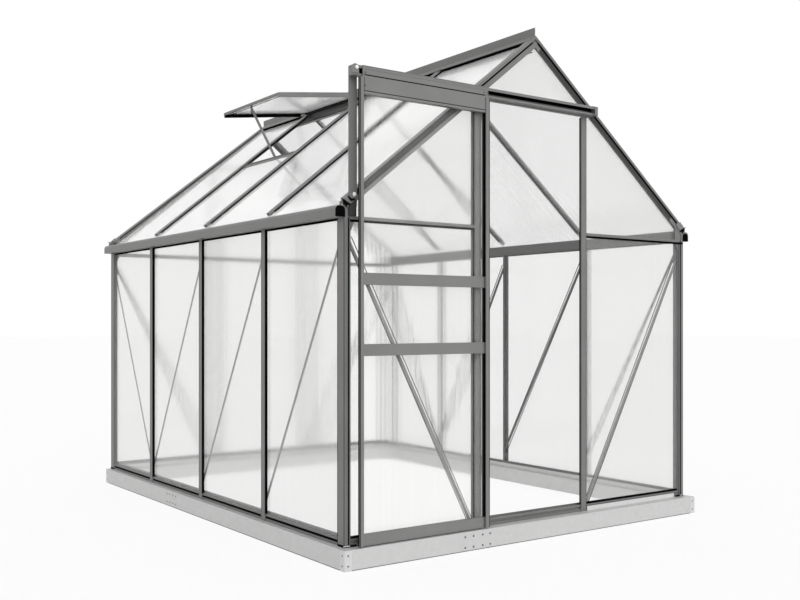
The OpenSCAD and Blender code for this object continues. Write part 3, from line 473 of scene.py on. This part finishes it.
WALLS = [long_side(s, X_WALL) for s in (-1, 1)]
FRONT, BACK = gable_side(-1, -Y_FRONT), gable_side(1, Y_BACK)
SLOPES = [down_slope(s, ROOF_RISE) for s in (-1, 1)]
GABLE_BARS = ((FRONT, (-0.3165, 0.2841)), (BACK, (-0.3165, 0.3165)))
LIPS = both_sides(0.0082, 0.0157)
# black rubber for the gaskets and seals, also used as painted shade in grooves, gaps, slots and hollows
black_rubber_and_shade, shader = with_skin(
    "gasket rubber", nylon, {"Black": (0.002, 0.002, 0.002, 1), "Bloom": (0.005, 0.005, 0.005, 1)})
shader.inputs["Specular IOR Level"].default_value = 0.0
bm = bmesh.new()
for wall in WALLS:
    for y in STUDS:
        for a, b in LIPS:
            strip(bm, wall, (0.0032, y + a, Z_SILL_LIP), (SHEET_FACE, y + b, Z_BAR_TOP))
        for a, b in both_sides(0.0158, 0.0176):
            strip(bm, wall, (0.0002, y + a, Z_SILL_LIP), (SHEET_FACE, y + b, Z_BAR_TOP), 0.0003)
for gable, middles in GABLE_BARS:
    for x in middles:
        for a, b in LIPS:
            strip(bm, gable, (x + a, 0.0032, Z_SILL_LIP), (x + b, SHEET_FACE, gable_bar_top(x)))
as_piece("bar_gaskets", bm, black_rubber_and_shade, "house")


# ---- Bar edge shade: dark coated strips along both edges of the bars' coated aluminium
# faces are painted shade, for the shade that lies along those edges.
painted_shade_grey, shader = with_skin(
    "painted shade coat", coat, {"Coat": (0.045, 0.045, 0.044, 1), "Dust": (0.06, 0.06, 0.059, 1)})
shader.inputs["Specular IOR Level"].default_value = 0.15
SHADE_OUT, SHADE_IN = -0.0003, 0.0004
bm = bmesh.new()
for a, b in both_sides(0.0143, 0.0167):
    for y in STUDS:
        for wall in WALLS:
            strip(bm, wall, (SHADE_OUT, y + a, Z_SHEET_FOOT), (SHADE_IN, y + b, Z_BAR_TOP), 0.0002)
    for gable, middles in GABLE_BARS:
        for x in middles:
            strip(bm, gable, (x + a, SHADE_OUT, Z_SHEET_FOOT), (x + b, SHADE_IN, gable_bar_top(x)), 0.0002)
for slope in SLOPES:
    strip(bm, slope, (0.03, Y_BACK - 0.0335, -0.0005), (1.17, Y_BACK - 0.0300, 0.0004), 0.0002)
    strip(bm, slope, (0.03, Y_BACK - 0.0045, -0.0005), (1.17, Y_BACK - 0.0004, 0.0004), 0.0002)
as_piece("bar_edge_shades", bm, painted_shade_grey, "house")


# ---- Roof gaskets: two rows of black rubber lips pressed in along both sides of each
# roof bar, and one lip along the ridge's flange in every bay but the vent's.
def bays(end):
    """The stretches of a long side between its bars, with end kept free at both corners."""
    clear = HALF_BAR + 0.0005
    stops = [Y_FRONT + end, *(y + k * clear for y in STUDS for k in (-1, 1)), Y_BACK - end]
    return list(zip(stops[::2], stops[1::2]))


VENT_BAY = 2
bm = bmesh.new()
for side, slope in enumerate(SLOPES):
    for y in STUDS:
        for a, b in LIPS:
            strip(bm, slope, (0.042, y + a, -0.0118), (1.166, y + b, -0.0055))
            strip(bm, slope, (0.042, y + a, -0.0142), (1.166, y + b, -0.0130))
    for bay, (a, b) in enumerate(bays(0.036)):
        if side == 1 or bay != VENT_BAY:
            strip(bm, slope, (0.030, a, -0.0117), (0.0395, b, -0.0003))
as_piece("roof_gaskets", bm, black_rubber_and_shade, "house")


# ---- Roof bar returns: the coated faces of the roof bars are folded down at both
# edges, and a coated end piece closes the lower end of each bar.
bm = bmesh.new()
for slope in SLOPES:
    for y in STUDS:
        for a, b in both_sides(0.0138, 0.0164):
            strip(bm, slope, (0.046, y + a, -0.0055), (1.1695, y + b, -0.0028))
        strip(bm, slope, (1.1702, y - HALF_BAR, -0.0118), (1.1915, y + HALF_BAR, -0.0002))
as_piece("roof_bar_returns", bm, grey_bars, "house")


# ---- Sheet lips: black rubber pressed into the crossbars' recess and over the feet
# of the sheets, and black packing between the sheets and the gutters.
bm = bmesh.new()
for gable, fields in ((FRONT, ((-0.9245, -0.3335), (0.301, 0.9245))),
                      (BACK, ((-0.9245, -0.3335), (-0.2995, 0.2995), (0.3335, 0.9245)))):
    for a, b in fields:
        strip(bm, gable, (a, 0.0033, 1.2695), (b, 0.0077, 1.2776))
        strip(bm, gable, (a + 0.008, 0.0083, 0.1002), (b - 0.008, SHEET_FACE, 0.113))
for wall in WALLS:
    for a, b in bays(0.05):
        strip(bm, wall, (0.0034, a, 0.0875), (0.0085, b, 0.0965))
        strip(bm, wall, (0.004, a, 1.2765), (SHEET_FACE, b, 1.2836))
    for a, b in ((Y_FRONT - 0.0001, Y_FRONT + 0.0037), (Y_BACK - 0.0037, Y_BACK + 0.0001)):
        strip(bm, wall, (0.0150, a, Z_POST_FOOT), (0.0212, b, Z_BAR_TOP))
for gable in (FRONT, BACK):
    strip(bm, gable, (0.9150, -0.0006, 1.2690), (0.9490, 0.0077, 1.2780))
as_piece("sheet_lips", bm, black_rubber_and_shade, "house")


# ---- Post grooves: an open groove runs down both edges of the long wall's face of
# each extruded corner post. A black strip level with the face paints the shade in it.
bm = bmesh.new()
for wall in WALLS:
    for y, s in ((Y_FRONT, 1), (Y_BACK, -1)):
        for near, far in ((0.0004, 0.0042), (0.0450, 0.0486)):
            a, b = sorted((y + s * near, y + s * far))
            strip(bm, wall, (-0.0002, a, Z_POST_FOOT), (0.001, b, Z_BAR_TOP), 0.0003)
as_piece("post_grooves", bm, black_rubber_and_shade, "house")


# ---- Rafter rebates: black rubber fills the rebate between the outer lip and the
# lower face of each gable rafter, and a narrow slot at its back; on the right rafters
# the black reaches out to the face, which is painted shade. Dark coated strips paint
# shade on the faces beside it, over more of the right rafters' length than the left ones'.
def rafter_line(gable, s):
    """Place along the left (-1) or right (1) rafter of a gable, from the apex down."""
    return gable @ down_slope(s, RAFTER_RISE)


bm = bmesh.new()
for gable in (FRONT, BACK):
    for s, outer, lower in ((-1, 0.0050, -0.0188), (1, 0.0004, -0.0206)):
        strip(bm, rafter_line(gable, s), (0.03, outer, lower), (1.165, 0.0069, -0.0112))
        strip(bm, rafter_line(gable, s), (0.06, 0.0341, -0.0118), (1.17, 0.0356, -0.0070))
as_piece("rafter_rebates", bm, black_rubber_and_shade, "house")
bm = bmesh.new()
for gable in (FRONT, BACK):
    strip(bm, rafter_line(gable, 1), (0.055, 0.0014, -0.0388), (1.12, 0.0021, -0.0204), 0.0002)
    strip(bm, rafter_line(gable, -1), (0.45, SHADE_OUT, -0.0106), (1.12, SHADE_IN, -0.0006), 0.0002)
    strip(bm, rafter_line(gable, -1), (0.45, 0.0014, -0.0250), (1.12, 0.0069, -0.0112), 0.0002)
as_piece("rafter_shades", bm, painted_shade_grey, "house")


# ---- Roof vent dressing: folded aluminium skirts under the leaf's side frames, and
# black rubber seals pressed in round its frame and hinge, and along the lower edges
# of the ridge bar.
UNTURNED = Matrix()
hinge = Matrix.Translation((0.03102, 0, 2.08735)) @ Matrix.Rotation(radians(7.3), 4, "Y")
leaf = Matrix.Diagonal((-1, 1, 1, 1)) @ hinge
bm = bmesh.new()
for a, b in ((0.0432, 0.0447), (0.6553, 0.6568)):
    strip(bm, leaf, (0.034, a, -0.0205), (0.5118, b, -0.0112))
as_piece("vent_skirts", bm, grey_door, "house")
bm = bmesh.new()
for a, b in ((0.0465, 0.0485), (0.6515, 0.6535)):
    strip(bm, leaf, (0.0355, a, -0.0195), (0.5085, b, -0.0025))
strip(bm, leaf, (0.4925, 0.0485, -0.0046), (0.4975, 0.6515, -0.0022))
strip(bm, leaf, (0.4945, 0.0485, -0.0132), (0.5000, 0.6515, -0.0112))
strip(bm, SLOPES[0], (0.0384, 0.0435, 0.0036), (0.0425, 0.6565, 0.0145))
strip(bm, SLOPES[0], (0.0340, 0.0435, -0.0048), (0.0402, 0.6565, -0.0008))
for a, b in both_sides(0.0141, 0.0154):
    strip(bm, UNTURNED, (a, Y_FRONT + 0.037, Z_APEX - 0.0620), (b, Y_BACK - 0.037, Z_APEX - 0.0588), 0.0003)
as_piece("vent_seals", bm, black_rubber_and_shade, "house")


# ---- Door seals: black rubber and brush strips pressed into the sliding door's
# aluminium frame, beside its panels and down both stiles. Thin black strips in the top
# rail's grooves are painted shade.
DOOR_L, DOOR_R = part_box("door_stiles")[0].x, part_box("door_stiles")[1].x
DOOR_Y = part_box("door_stiles")[0].y
DOOR_EDGES = ((1, DOOR_L), (-1, DOOR_R))
PANEL_HEIGHTS = ((0.1235, 0.7755), (0.8205, 1.0375), (1.0825, 1.7355))
RAIL_L, RAIL_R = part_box("door_mid_rails")[0].x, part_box("door_mid_rails")[1].x
bm = bmesh.new()
for z0, z1 in PANEL_HEIGHTS:
    for s, edge in DOOR_EDGES:
        a, b = sorted((edge + s * 0.0192, edge + s * 0.0215))
        strip(bm, UNTURNED, (a, DOOR_Y + 0.0032, z0), (b, DOOR_Y + 0.0178, z1))
for s, edge in DOOR_EDGES:
    a, b = sorted((edge + s * 0.001, edge + s * 0.013))
    strip(bm, UNTURNED, (a, DOOR_Y + 0.0032, 0.0825), (b, DOOR_Y + 0.0115, 1.7955))
# thin black strips in the top rail's grooves: painted shade
for near, far, z0, z1 in ((0.0023, 0.0033, 1.7447, 1.7472), (0.0008, 0.0016, 1.8023, 1.8057)):
    strip(bm, UNTURNED, (RAIL_L + 0.001, DOOR_Y + near, z0), (RAIL_R - 0.001, DOOR_Y + far, z1), 0.0002)
as_piece("door_seals", bm, black_rubber_and_shade, "door")

# painted shade: dark coated strips down the outer edges of the stiles
bm = bmesh.new()
for x0, x1 in ((DOOR_L - 0.0004, DOOR_L + 0.0058), (DOOR_R - 0.0030, DOOR_R + 0.0004)):
    strip(bm, UNTURNED, (x0, DOOR_Y - 0.0003, 0.0815), (x1, DOOR_Y + 0.0010, 1.7955), 0.0003)
as_piece("door_edge_shades", bm, painted_shade_grey, "door")


# ---- Track lining: black strips at the back of the door's extruded aluminium track,
# and along both edges of its face to the right of the door, are painted shade.
track_low, track_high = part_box("door_track")
bm = bmesh.new()
for z0, z1 in ((0.0195, 0.0335), (0.0120, 0.0142)):
    strip(bm, UNTURNED, (track_low.x + 0.013, track_low.y + 0.0282, track_low.z + z0),
          (track_high.x - 0.013, track_low.y + 0.0289, track_low.z + z1), 0.0002)
for z0, z1 in ((0.0350, 0.0369), (0.0001, 0.0016)):
    strip(bm, UNTURNED, (0.301, track_low.y - 0.0016, track_low.z + z0),
          (track_high.x - 0.001, track_low.y - 0.0001, track_low.z + z1), 0.0002)
as_piece("track_lining", bm, black_rubber_and_shade, "house")


# ---- Gutter ends: each gutter is closed by a coated end piece that is screwed to
# the corner post. A black plate in its arched mouth is painted shade, for the dark hollow.
def plate(bm, place, outline, front, back, soft=0.0003):
    """A flat plate with the outline (across, up), from one depth to another."""
    face = bm.faces.new([bm.verts.new(place @ Vector((x, front, z))) for x, z in outline])
    deep = place @ Vector((0, back, 0)) - place @ Vector((0, front, 0))
    made = bmesh.ops.extrude_face_region(bm, geom=[face], use_keep_orig=True)
    verts = [v for v in made["geom"] if isinstance(v, bmesh.types.BMVert)]
    bmesh.ops.translate(bm, verts=verts, vec=deep)
    rims = set(face.edges) | {e for v in verts for e in v.link_edges if e.other_vert(v) in verts}
    bmesh.ops.bevel(bm, geom=list(rims), offset=soft, segments=1, profile=0.5, affect="EDGES", material=-1)


def arch(x0, x1, z0, z1, r, steps=6):
    """The left and right halves of an arched plate: square feet at z0, top corners rounded by r."""
    turns = [radians(90 * k / steps) for k in range(steps + 1)]
    left = [(x0, z0)] + [(x0 + r - r * cos(a), z1 - r + r * sin(a)) for a in turns]
    right = [(x1 - r + r * sin(a), z1 - r + r * cos(a)) for a in turns] + [(x1, z0)]
    return left, right


def corner(gable, s, z=0):
    """Place at the left (-1) or right (1) corner of a gable, at the long wall's face."""
    return gable @ Matrix.Diagonal((s, 1, 1, 1)) @ Matrix.Translation((X_WALL, 0, z))


Z_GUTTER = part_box("right_gutter")[0].z
CORNERS = [(gable, s) for s in (-1, 1) for gable in (FRONT, BACK)]
LOW, TOP = 0.0002, 0.0436
bm = bmesh.new()
for gable, s in CORNERS:
    inner = arch(-0.0135, 0.012, LOW, TOP, 0.0118)[0]
    outer = arch(-0.03, 0.0388, LOW, TOP, 0.016)[1]
    plate(bm, corner(gable, s, Z_GUTTER), [(0.0005, TOP)] + outer + [(0.0005, LOW)], 0.0003, 0.0118)
    plate(bm, corner(gable, s, Z_GUTTER), inner + [(0.0004, TOP), (0.0004, LOW)], 0.0002, 0.0018)
as_piece("gutter_ends", bm, grey_gutter, "house")
# black plates in the gutters' arched mouths: painted shade
bm = bmesh.new()
for gable, s in CORNERS:
    wide = 0.0389 if s == -1 else 0.0352
    left, right = arch(-0.0035, wide, 0.0008, wide + 0.0026, 0.017)
    plate(bm, corner(gable, s, Z_GUTTER), left + right, -0.0006, 0.0001)
as_piece("gutter_mouth_shades", bm, black_rubber_and_shade, "house")


# ---- Vent hook: a small black hook on the upper end of the vent's stay, bent from
# coated steel. It catches under the leaf's free edge.
HOOK = [(-0.5175, 1.9625), (-0.5285, 1.9795), (-0.5312, 1.9885), (-0.5245, 1.9978),
        (-0.5275, 2.0005), (-0.5350, 1.9885), (-0.5320, 1.9800), (-0.5208, 1.9645)]
bm = bmesh.new()
plate(bm, Matrix.Translation((0, 0.352, 0)), HOOK, -0.0016, 0.0016)
as_piece("vent_hook", bm, black_rubber_and_shade, "house")


# ---- Rafter feet: a coated plate lies over each rafter's lower end, beside the
# corner post, and a black moulded stop closes the rafter's channel. The front left
# plate lies over the foot of the track's bar, so it stands further out; a black plate
# on it is painted shade for its slot.
FOOT_PLATE = [(-0.9290, 1.3746), (-0.9560, 1.3500), (-0.9255, 1.3350), (-0.9030, 1.3540),
              (-0.8990, 1.3640), (-0.9020, 1.3740), (-0.9090, 1.3795), (-0.9180, 1.3800)]
PLAIN_PLATE = [(x, z - 0.0004) for x, z in FOOT_PLATE[:5]]
SLOT = [(-0.9415, 1.3625), (-0.9345, 1.3625), (-0.9270, 1.3550), (-0.9180, 1.3530),
        (-0.9080, 1.3565), (-0.9090, 1.3480), (-0.9240, 1.3425), (-0.9345, 1.3490)]
STOP = [(-0.9700, 1.3530), (-0.9600, 1.3500), (-0.9575, 1.3487), (-0.9265, 1.3318), (-0.9285, 1.3265),
        (-0.9400, 1.3290), (-0.9456, 1.3186), (-0.9500, 1.3290), (-0.9570, 1.3370), (-0.9610, 1.3450)]
FLIP = Matrix.Diagonal((-1, 1, 1, 1))
OTHER_CORNERS = (FRONT @ FLIP, BACK, BACK @ FLIP)
bm = bmesh.new()
plate(bm, FRONT, FOOT_PLATE, -0.0072, -0.0057)
for place in OTHER_CORNERS:
    plate(bm, place, PLAIN_PLATE, -0.0018, -0.0003)
as_piece("rafter_foot_plates", bm, grey_door, "house")
bm = bmesh.new()
# the front left plate's slot is a black plate on it, painted shade
plate(bm, FRONT, SLOT, -0.0079, -0.0070, 0.0002)
plate(bm, FRONT, STOP, -0.0070, -0.0056)
for place in OTHER_CORNERS:
    plate(bm, place, STOP, -0.0023, -0.0002)
# black packing beside the track's bar, between it and the gable
strip(bm, FRONT, (-0.8975, -0.0058, 1.3700), (-0.8932, -0.0002, 1.3930))
as_piece("rafter_stops", bm, black_rubber_and_shade, "house")


# ---- Brace edges: thin bars beside the flat aluminium braces of the gables and of
# the right wall, apart from its front bay, for their folded edges, coloured dark as
# painted shade. Those of a wide face run parallel to its diagonal, so one end of
# each stands up to 13 mm off the brace.
LONG_FACE, END_ZONE, END_GAP = 0.3, 0.012, 0.012


def faces_of(name):
    """The corners of each flat face of a CAD node, from low to high. Its faces share no corners."""
    solid = bmesh.new()
    solid.from_mesh(nodes[name].data)
    seen, faces = set(), []
    for first in solid.verts:
        if first in seen:
            continue
        joined = [first]
        seen.add(first)
        for vert in joined:
            fresh = [e.other_vert(vert) for e in vert.link_edges if e.other_vert(vert) not in seen]
            joined += fresh
            seen.update(fresh)
        faces.append(sorted((v.co.copy() for v in joined), key=lambda c: c.z))
    solid.free()
    return faces


def middle_of(points):
    """The mean of some points."""
    return sum(points, Vector()) / len(points)


bm = bmesh.new()
for name, outward in (("side_braces", Vector((1, 0, 0))), ("gable_braces", Vector((0, 1, 0)))):
    for corners in faces_of(name):
        foot_at = middle_of([c for c in corners if c.z < corners[0].z + END_ZONE])
        head_at = middle_of([c for c in corners if c.z > corners[-1].z - END_ZONE])
        middle = (foot_at + head_at) / 2
        length = (head_at - foot_at).length
        unfolded = name == "side_braces" and (middle.x < 0 or middle.y < -0.6)
        if length < LONG_FACE or unfolded:
            continue
        up = (head_at - foot_at).normalized()
        over = up.cross(outward).normalized()
        out = over.cross(up).normalized()
        half = max(abs((c - foot_at).dot(over)) for c in corners)
        turn = Matrix((over, out, up)).transposed().to_4x4()
        reach = length / 2 - END_GAP
        for k in (-1, 1):
            place = Matrix.Translation(middle + over * k * (half + 0.0002)) @ turn
            strip(bm, place, (-0.0009, -0.001, -reach), (0.0009, 0.001, reach), 0.0003)
as_piece("brace_flanges", bm, painted_shade_grey, "house")


# ---- Bar foot and post feet: a coated aluminium foot under the bar that carries the
# track, coloured dark as painted shade, and a black strip in the gap under each corner
# post's foot, painted shadow.
BAR_FOOT = [(-0.9325, 1.2905), (-0.9325, 1.3300), (-0.9260, 1.3340), (-0.9010, 1.3530), (-0.9010, 1.2905)]
bm = bmesh.new()
plate(bm, FRONT, BAR_FOOT, -0.0061, -0.0002)
as_piece("bar_foot", bm, painted_shade_grey, "house")
bm = bmesh.new()
for gable, s in CORNERS:
    strip(bm, corner(gable, s), (-0.052, -0.0016, 0.0762), (0.0016, -0.0002, 0.0840), 0.0003)
    strip(bm, corner(gable, s), (0.0002, -0.0016, 0.0762), (0.0016, 0.045, 0.0840), 0.0003)
as_piece("post_foot_shadows", bm, black_rubber_and_shade, "house")


# ---- Frame bolts: zinc-plated steel. One holds the front left rafter's foot plate
# and one the track's bar, and a bright shim lies in front of each corner post's foot.
steel, shader = with_skin("plated bolts", zinc, {"Zinc": (0.95, 0.95, 0.94, 1), "Crystal": 400.0})
shader.inputs["Metallic"].default_value = 0.25


def bolt(bm, at, out, radius, tall, sides=6):
    """A head on a washer, standing out of a face at a point."""
    turn = Vector((0, 0, 1)).rotation_difference(Vector(out)).to_matrix().to_4x4()
    there = Matrix.Translation(Vector(at)) @ turn
    washer = there @ Matrix.Translation((0, 0, tall * 0.15))
    bmesh.ops.create_cone(bm, cap_ends=True, segments=16, radius1=radius * 1.45, radius2=radius * 1.4,
                          depth=tall * 0.3, matrix=washer)
    head = there @ Matrix.Translation((0, 0, tall * 0.65))
    bmesh.ops.create_cone(bm, cap_ends=True, segments=sides, radius1=radius, radius2=radius * 0.9,
                          depth=tall * 0.7, matrix=head)


bm = bmesh.new()
bolt(bm, (-0.9104, Y_FRONT - 0.0072, 1.3697), (0, -1, 0), 0.0056, 0.0042)
bolt(bm, (-0.9201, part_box("track_support")[0].y, 1.8286), (0, -1, 0), 0.0045, 0.0038)
for gable, s in CORNERS:
    strip(bm, corner(gable, s), (-0.0235, -0.0020, 0.0800), (0.0050, -0.0010, 0.0824), 0.0003)
as_piece("frame_bolts", bm, steel, "house")


# ---- Door screws: blackened steel screws with small round heads, which hold the
# door's top rail and its roller plates.
# the same dark steel also paints the shadow along the base rails' foot
dark_steel_and_shadow, shader = with_skin(
    "blackened screws and painted shadow", nylon, {"Black": (0.05, 0.05, 0.05, 1), "Bloom": (0.13, 0.13, 0.13, 1)})
bm = bmesh.new()
for x, z in ((-0.8872, 1.8124), (-0.8874, 1.7651), (-0.3207, 1.815), (-0.303, 1.815)):
    bolt(bm, (x, DOOR_Y, z), (0, -1, 0), 0.0026, 0.0018, 8)
as_piece("door_screws", bm, dark_steel_and_shadow, "door")


# ---- Base light and shade: a bright strip along the top edge of the galvanised base
# rails is a painted highlight, and a dark strip along their foot is painted shadow.
# Bright galvanised strips over their inner side and the inner side of the sills are painted light.
base_low, base_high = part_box("base_brackets")
X_BASE, Y_BASE0, Y_BASE1 = base_high.x, base_low.y, base_high.y
CORNER_STRIP = 0.033
y0, y1 = Y_BASE0 + CORNER_STRIP, Y_BASE1 - CORNER_STRIP
x0, x1 = CORNER_STRIP - X_BASE, X_BASE - CORNER_STRIP
top_highlight = bmesh.new()
foot_shadow = bmesh.new()
for s in (-1, 1):
    side, end = long_side(s, X_BASE), gable_side(s, Y_BASE1)
    strip(top_highlight, side, (0.0005, y0, 0.0735), (0.0020, y1, 0.0759), 0.0005)
    strip(top_highlight, end, (x0, 0.0005, 0.0735), (x1, 0.0020, 0.0759), 0.0005)
    strip(foot_shadow, side, (0.0004, y0, 0.0003), (0.0020, y1, 0.0030), 0.0005)
    strip(foot_shadow, end, (x0, 0.0004, 0.0003), (x1, 0.0020, 0.0030), 0.0005)
as_piece("base_top_highlight", top_highlight, bright_zinc_and_highlight, "house")

bm = bmesh.new()
for s, doorway in ((-1, 0.302), (1, -0.299)):
    side, end = long_side(s, 0.9080), gable_side(s, 1.2090)
    strip(bm, side, (0.0283, -1.18, 0.0012), (0.0291, 1.18, 0.0735), 0.0002)
    strip(bm, side, (0.0003, -1.18, 0.0765), (0.0011, 1.18, 0.0965), 0.0002)
    strip(bm, end, (-0.879, 0.0568, 0.0012), (0.879, 0.0576, 0.0735), 0.0002)
    strip(bm, end, (-0.879, 0.0003, 0.0765), (-0.334, 0.0011, 0.0965), 0.0002)
    strip(bm, end, (doorway, 0.0003, 0.0765), (0.879, 0.0011, 0.0965), 0.0002)
as_piece("base_inner_light", bm, painted_light_zinc, "house")
as_piece("base_foot_shadow", foot_shadow, dark_steel_and_shadow, "house")


# ---- Base screws: blackened steel screws with flat round heads, two on each side of
# every corner strip and eight through each joint strip of the rails.
HEAD, TALL = 0.0042, 0.0012
JOINT_HEAD = 0.003
X_JOINT, Y_JOINT = -0.352, 0.329
bm = bmesh.new()
for s in (-1, 1):
    for y, out in ((Y_BASE0, -1), (Y_BASE1, 1)):
        for z in (0.019, 0.057):
            bolt(bm, (s * (X_BASE - 0.0155), y - out * 0.00118, z), (0, out, 0), HEAD, TALL, 8)
            bolt(bm, (s * (X_BASE - 0.0010), y - out * 0.017, z), (s, 0, 0), HEAD, TALL, 8)
    for dx in (-0.065, -0.023, 0.024, 0.063):
        for z in (0.015, 0.057):
            bolt(bm, (X_JOINT + dx, s * (Y_BASE1 - TALL), z), (0, s, 0), JOINT_HEAD, TALL, 8)
    for dy in (-0.054, -0.019, 0.019, 0.051):
        for z in (0.019, 0.058):
            bolt(bm, (s * (X_BASE - TALL), Y_JOINT + dy, z), (s, 0, 0), JOINT_HEAD, TALL, 8)
as_piece("base_screws", bm, dark_steel_and_shadow, "house")
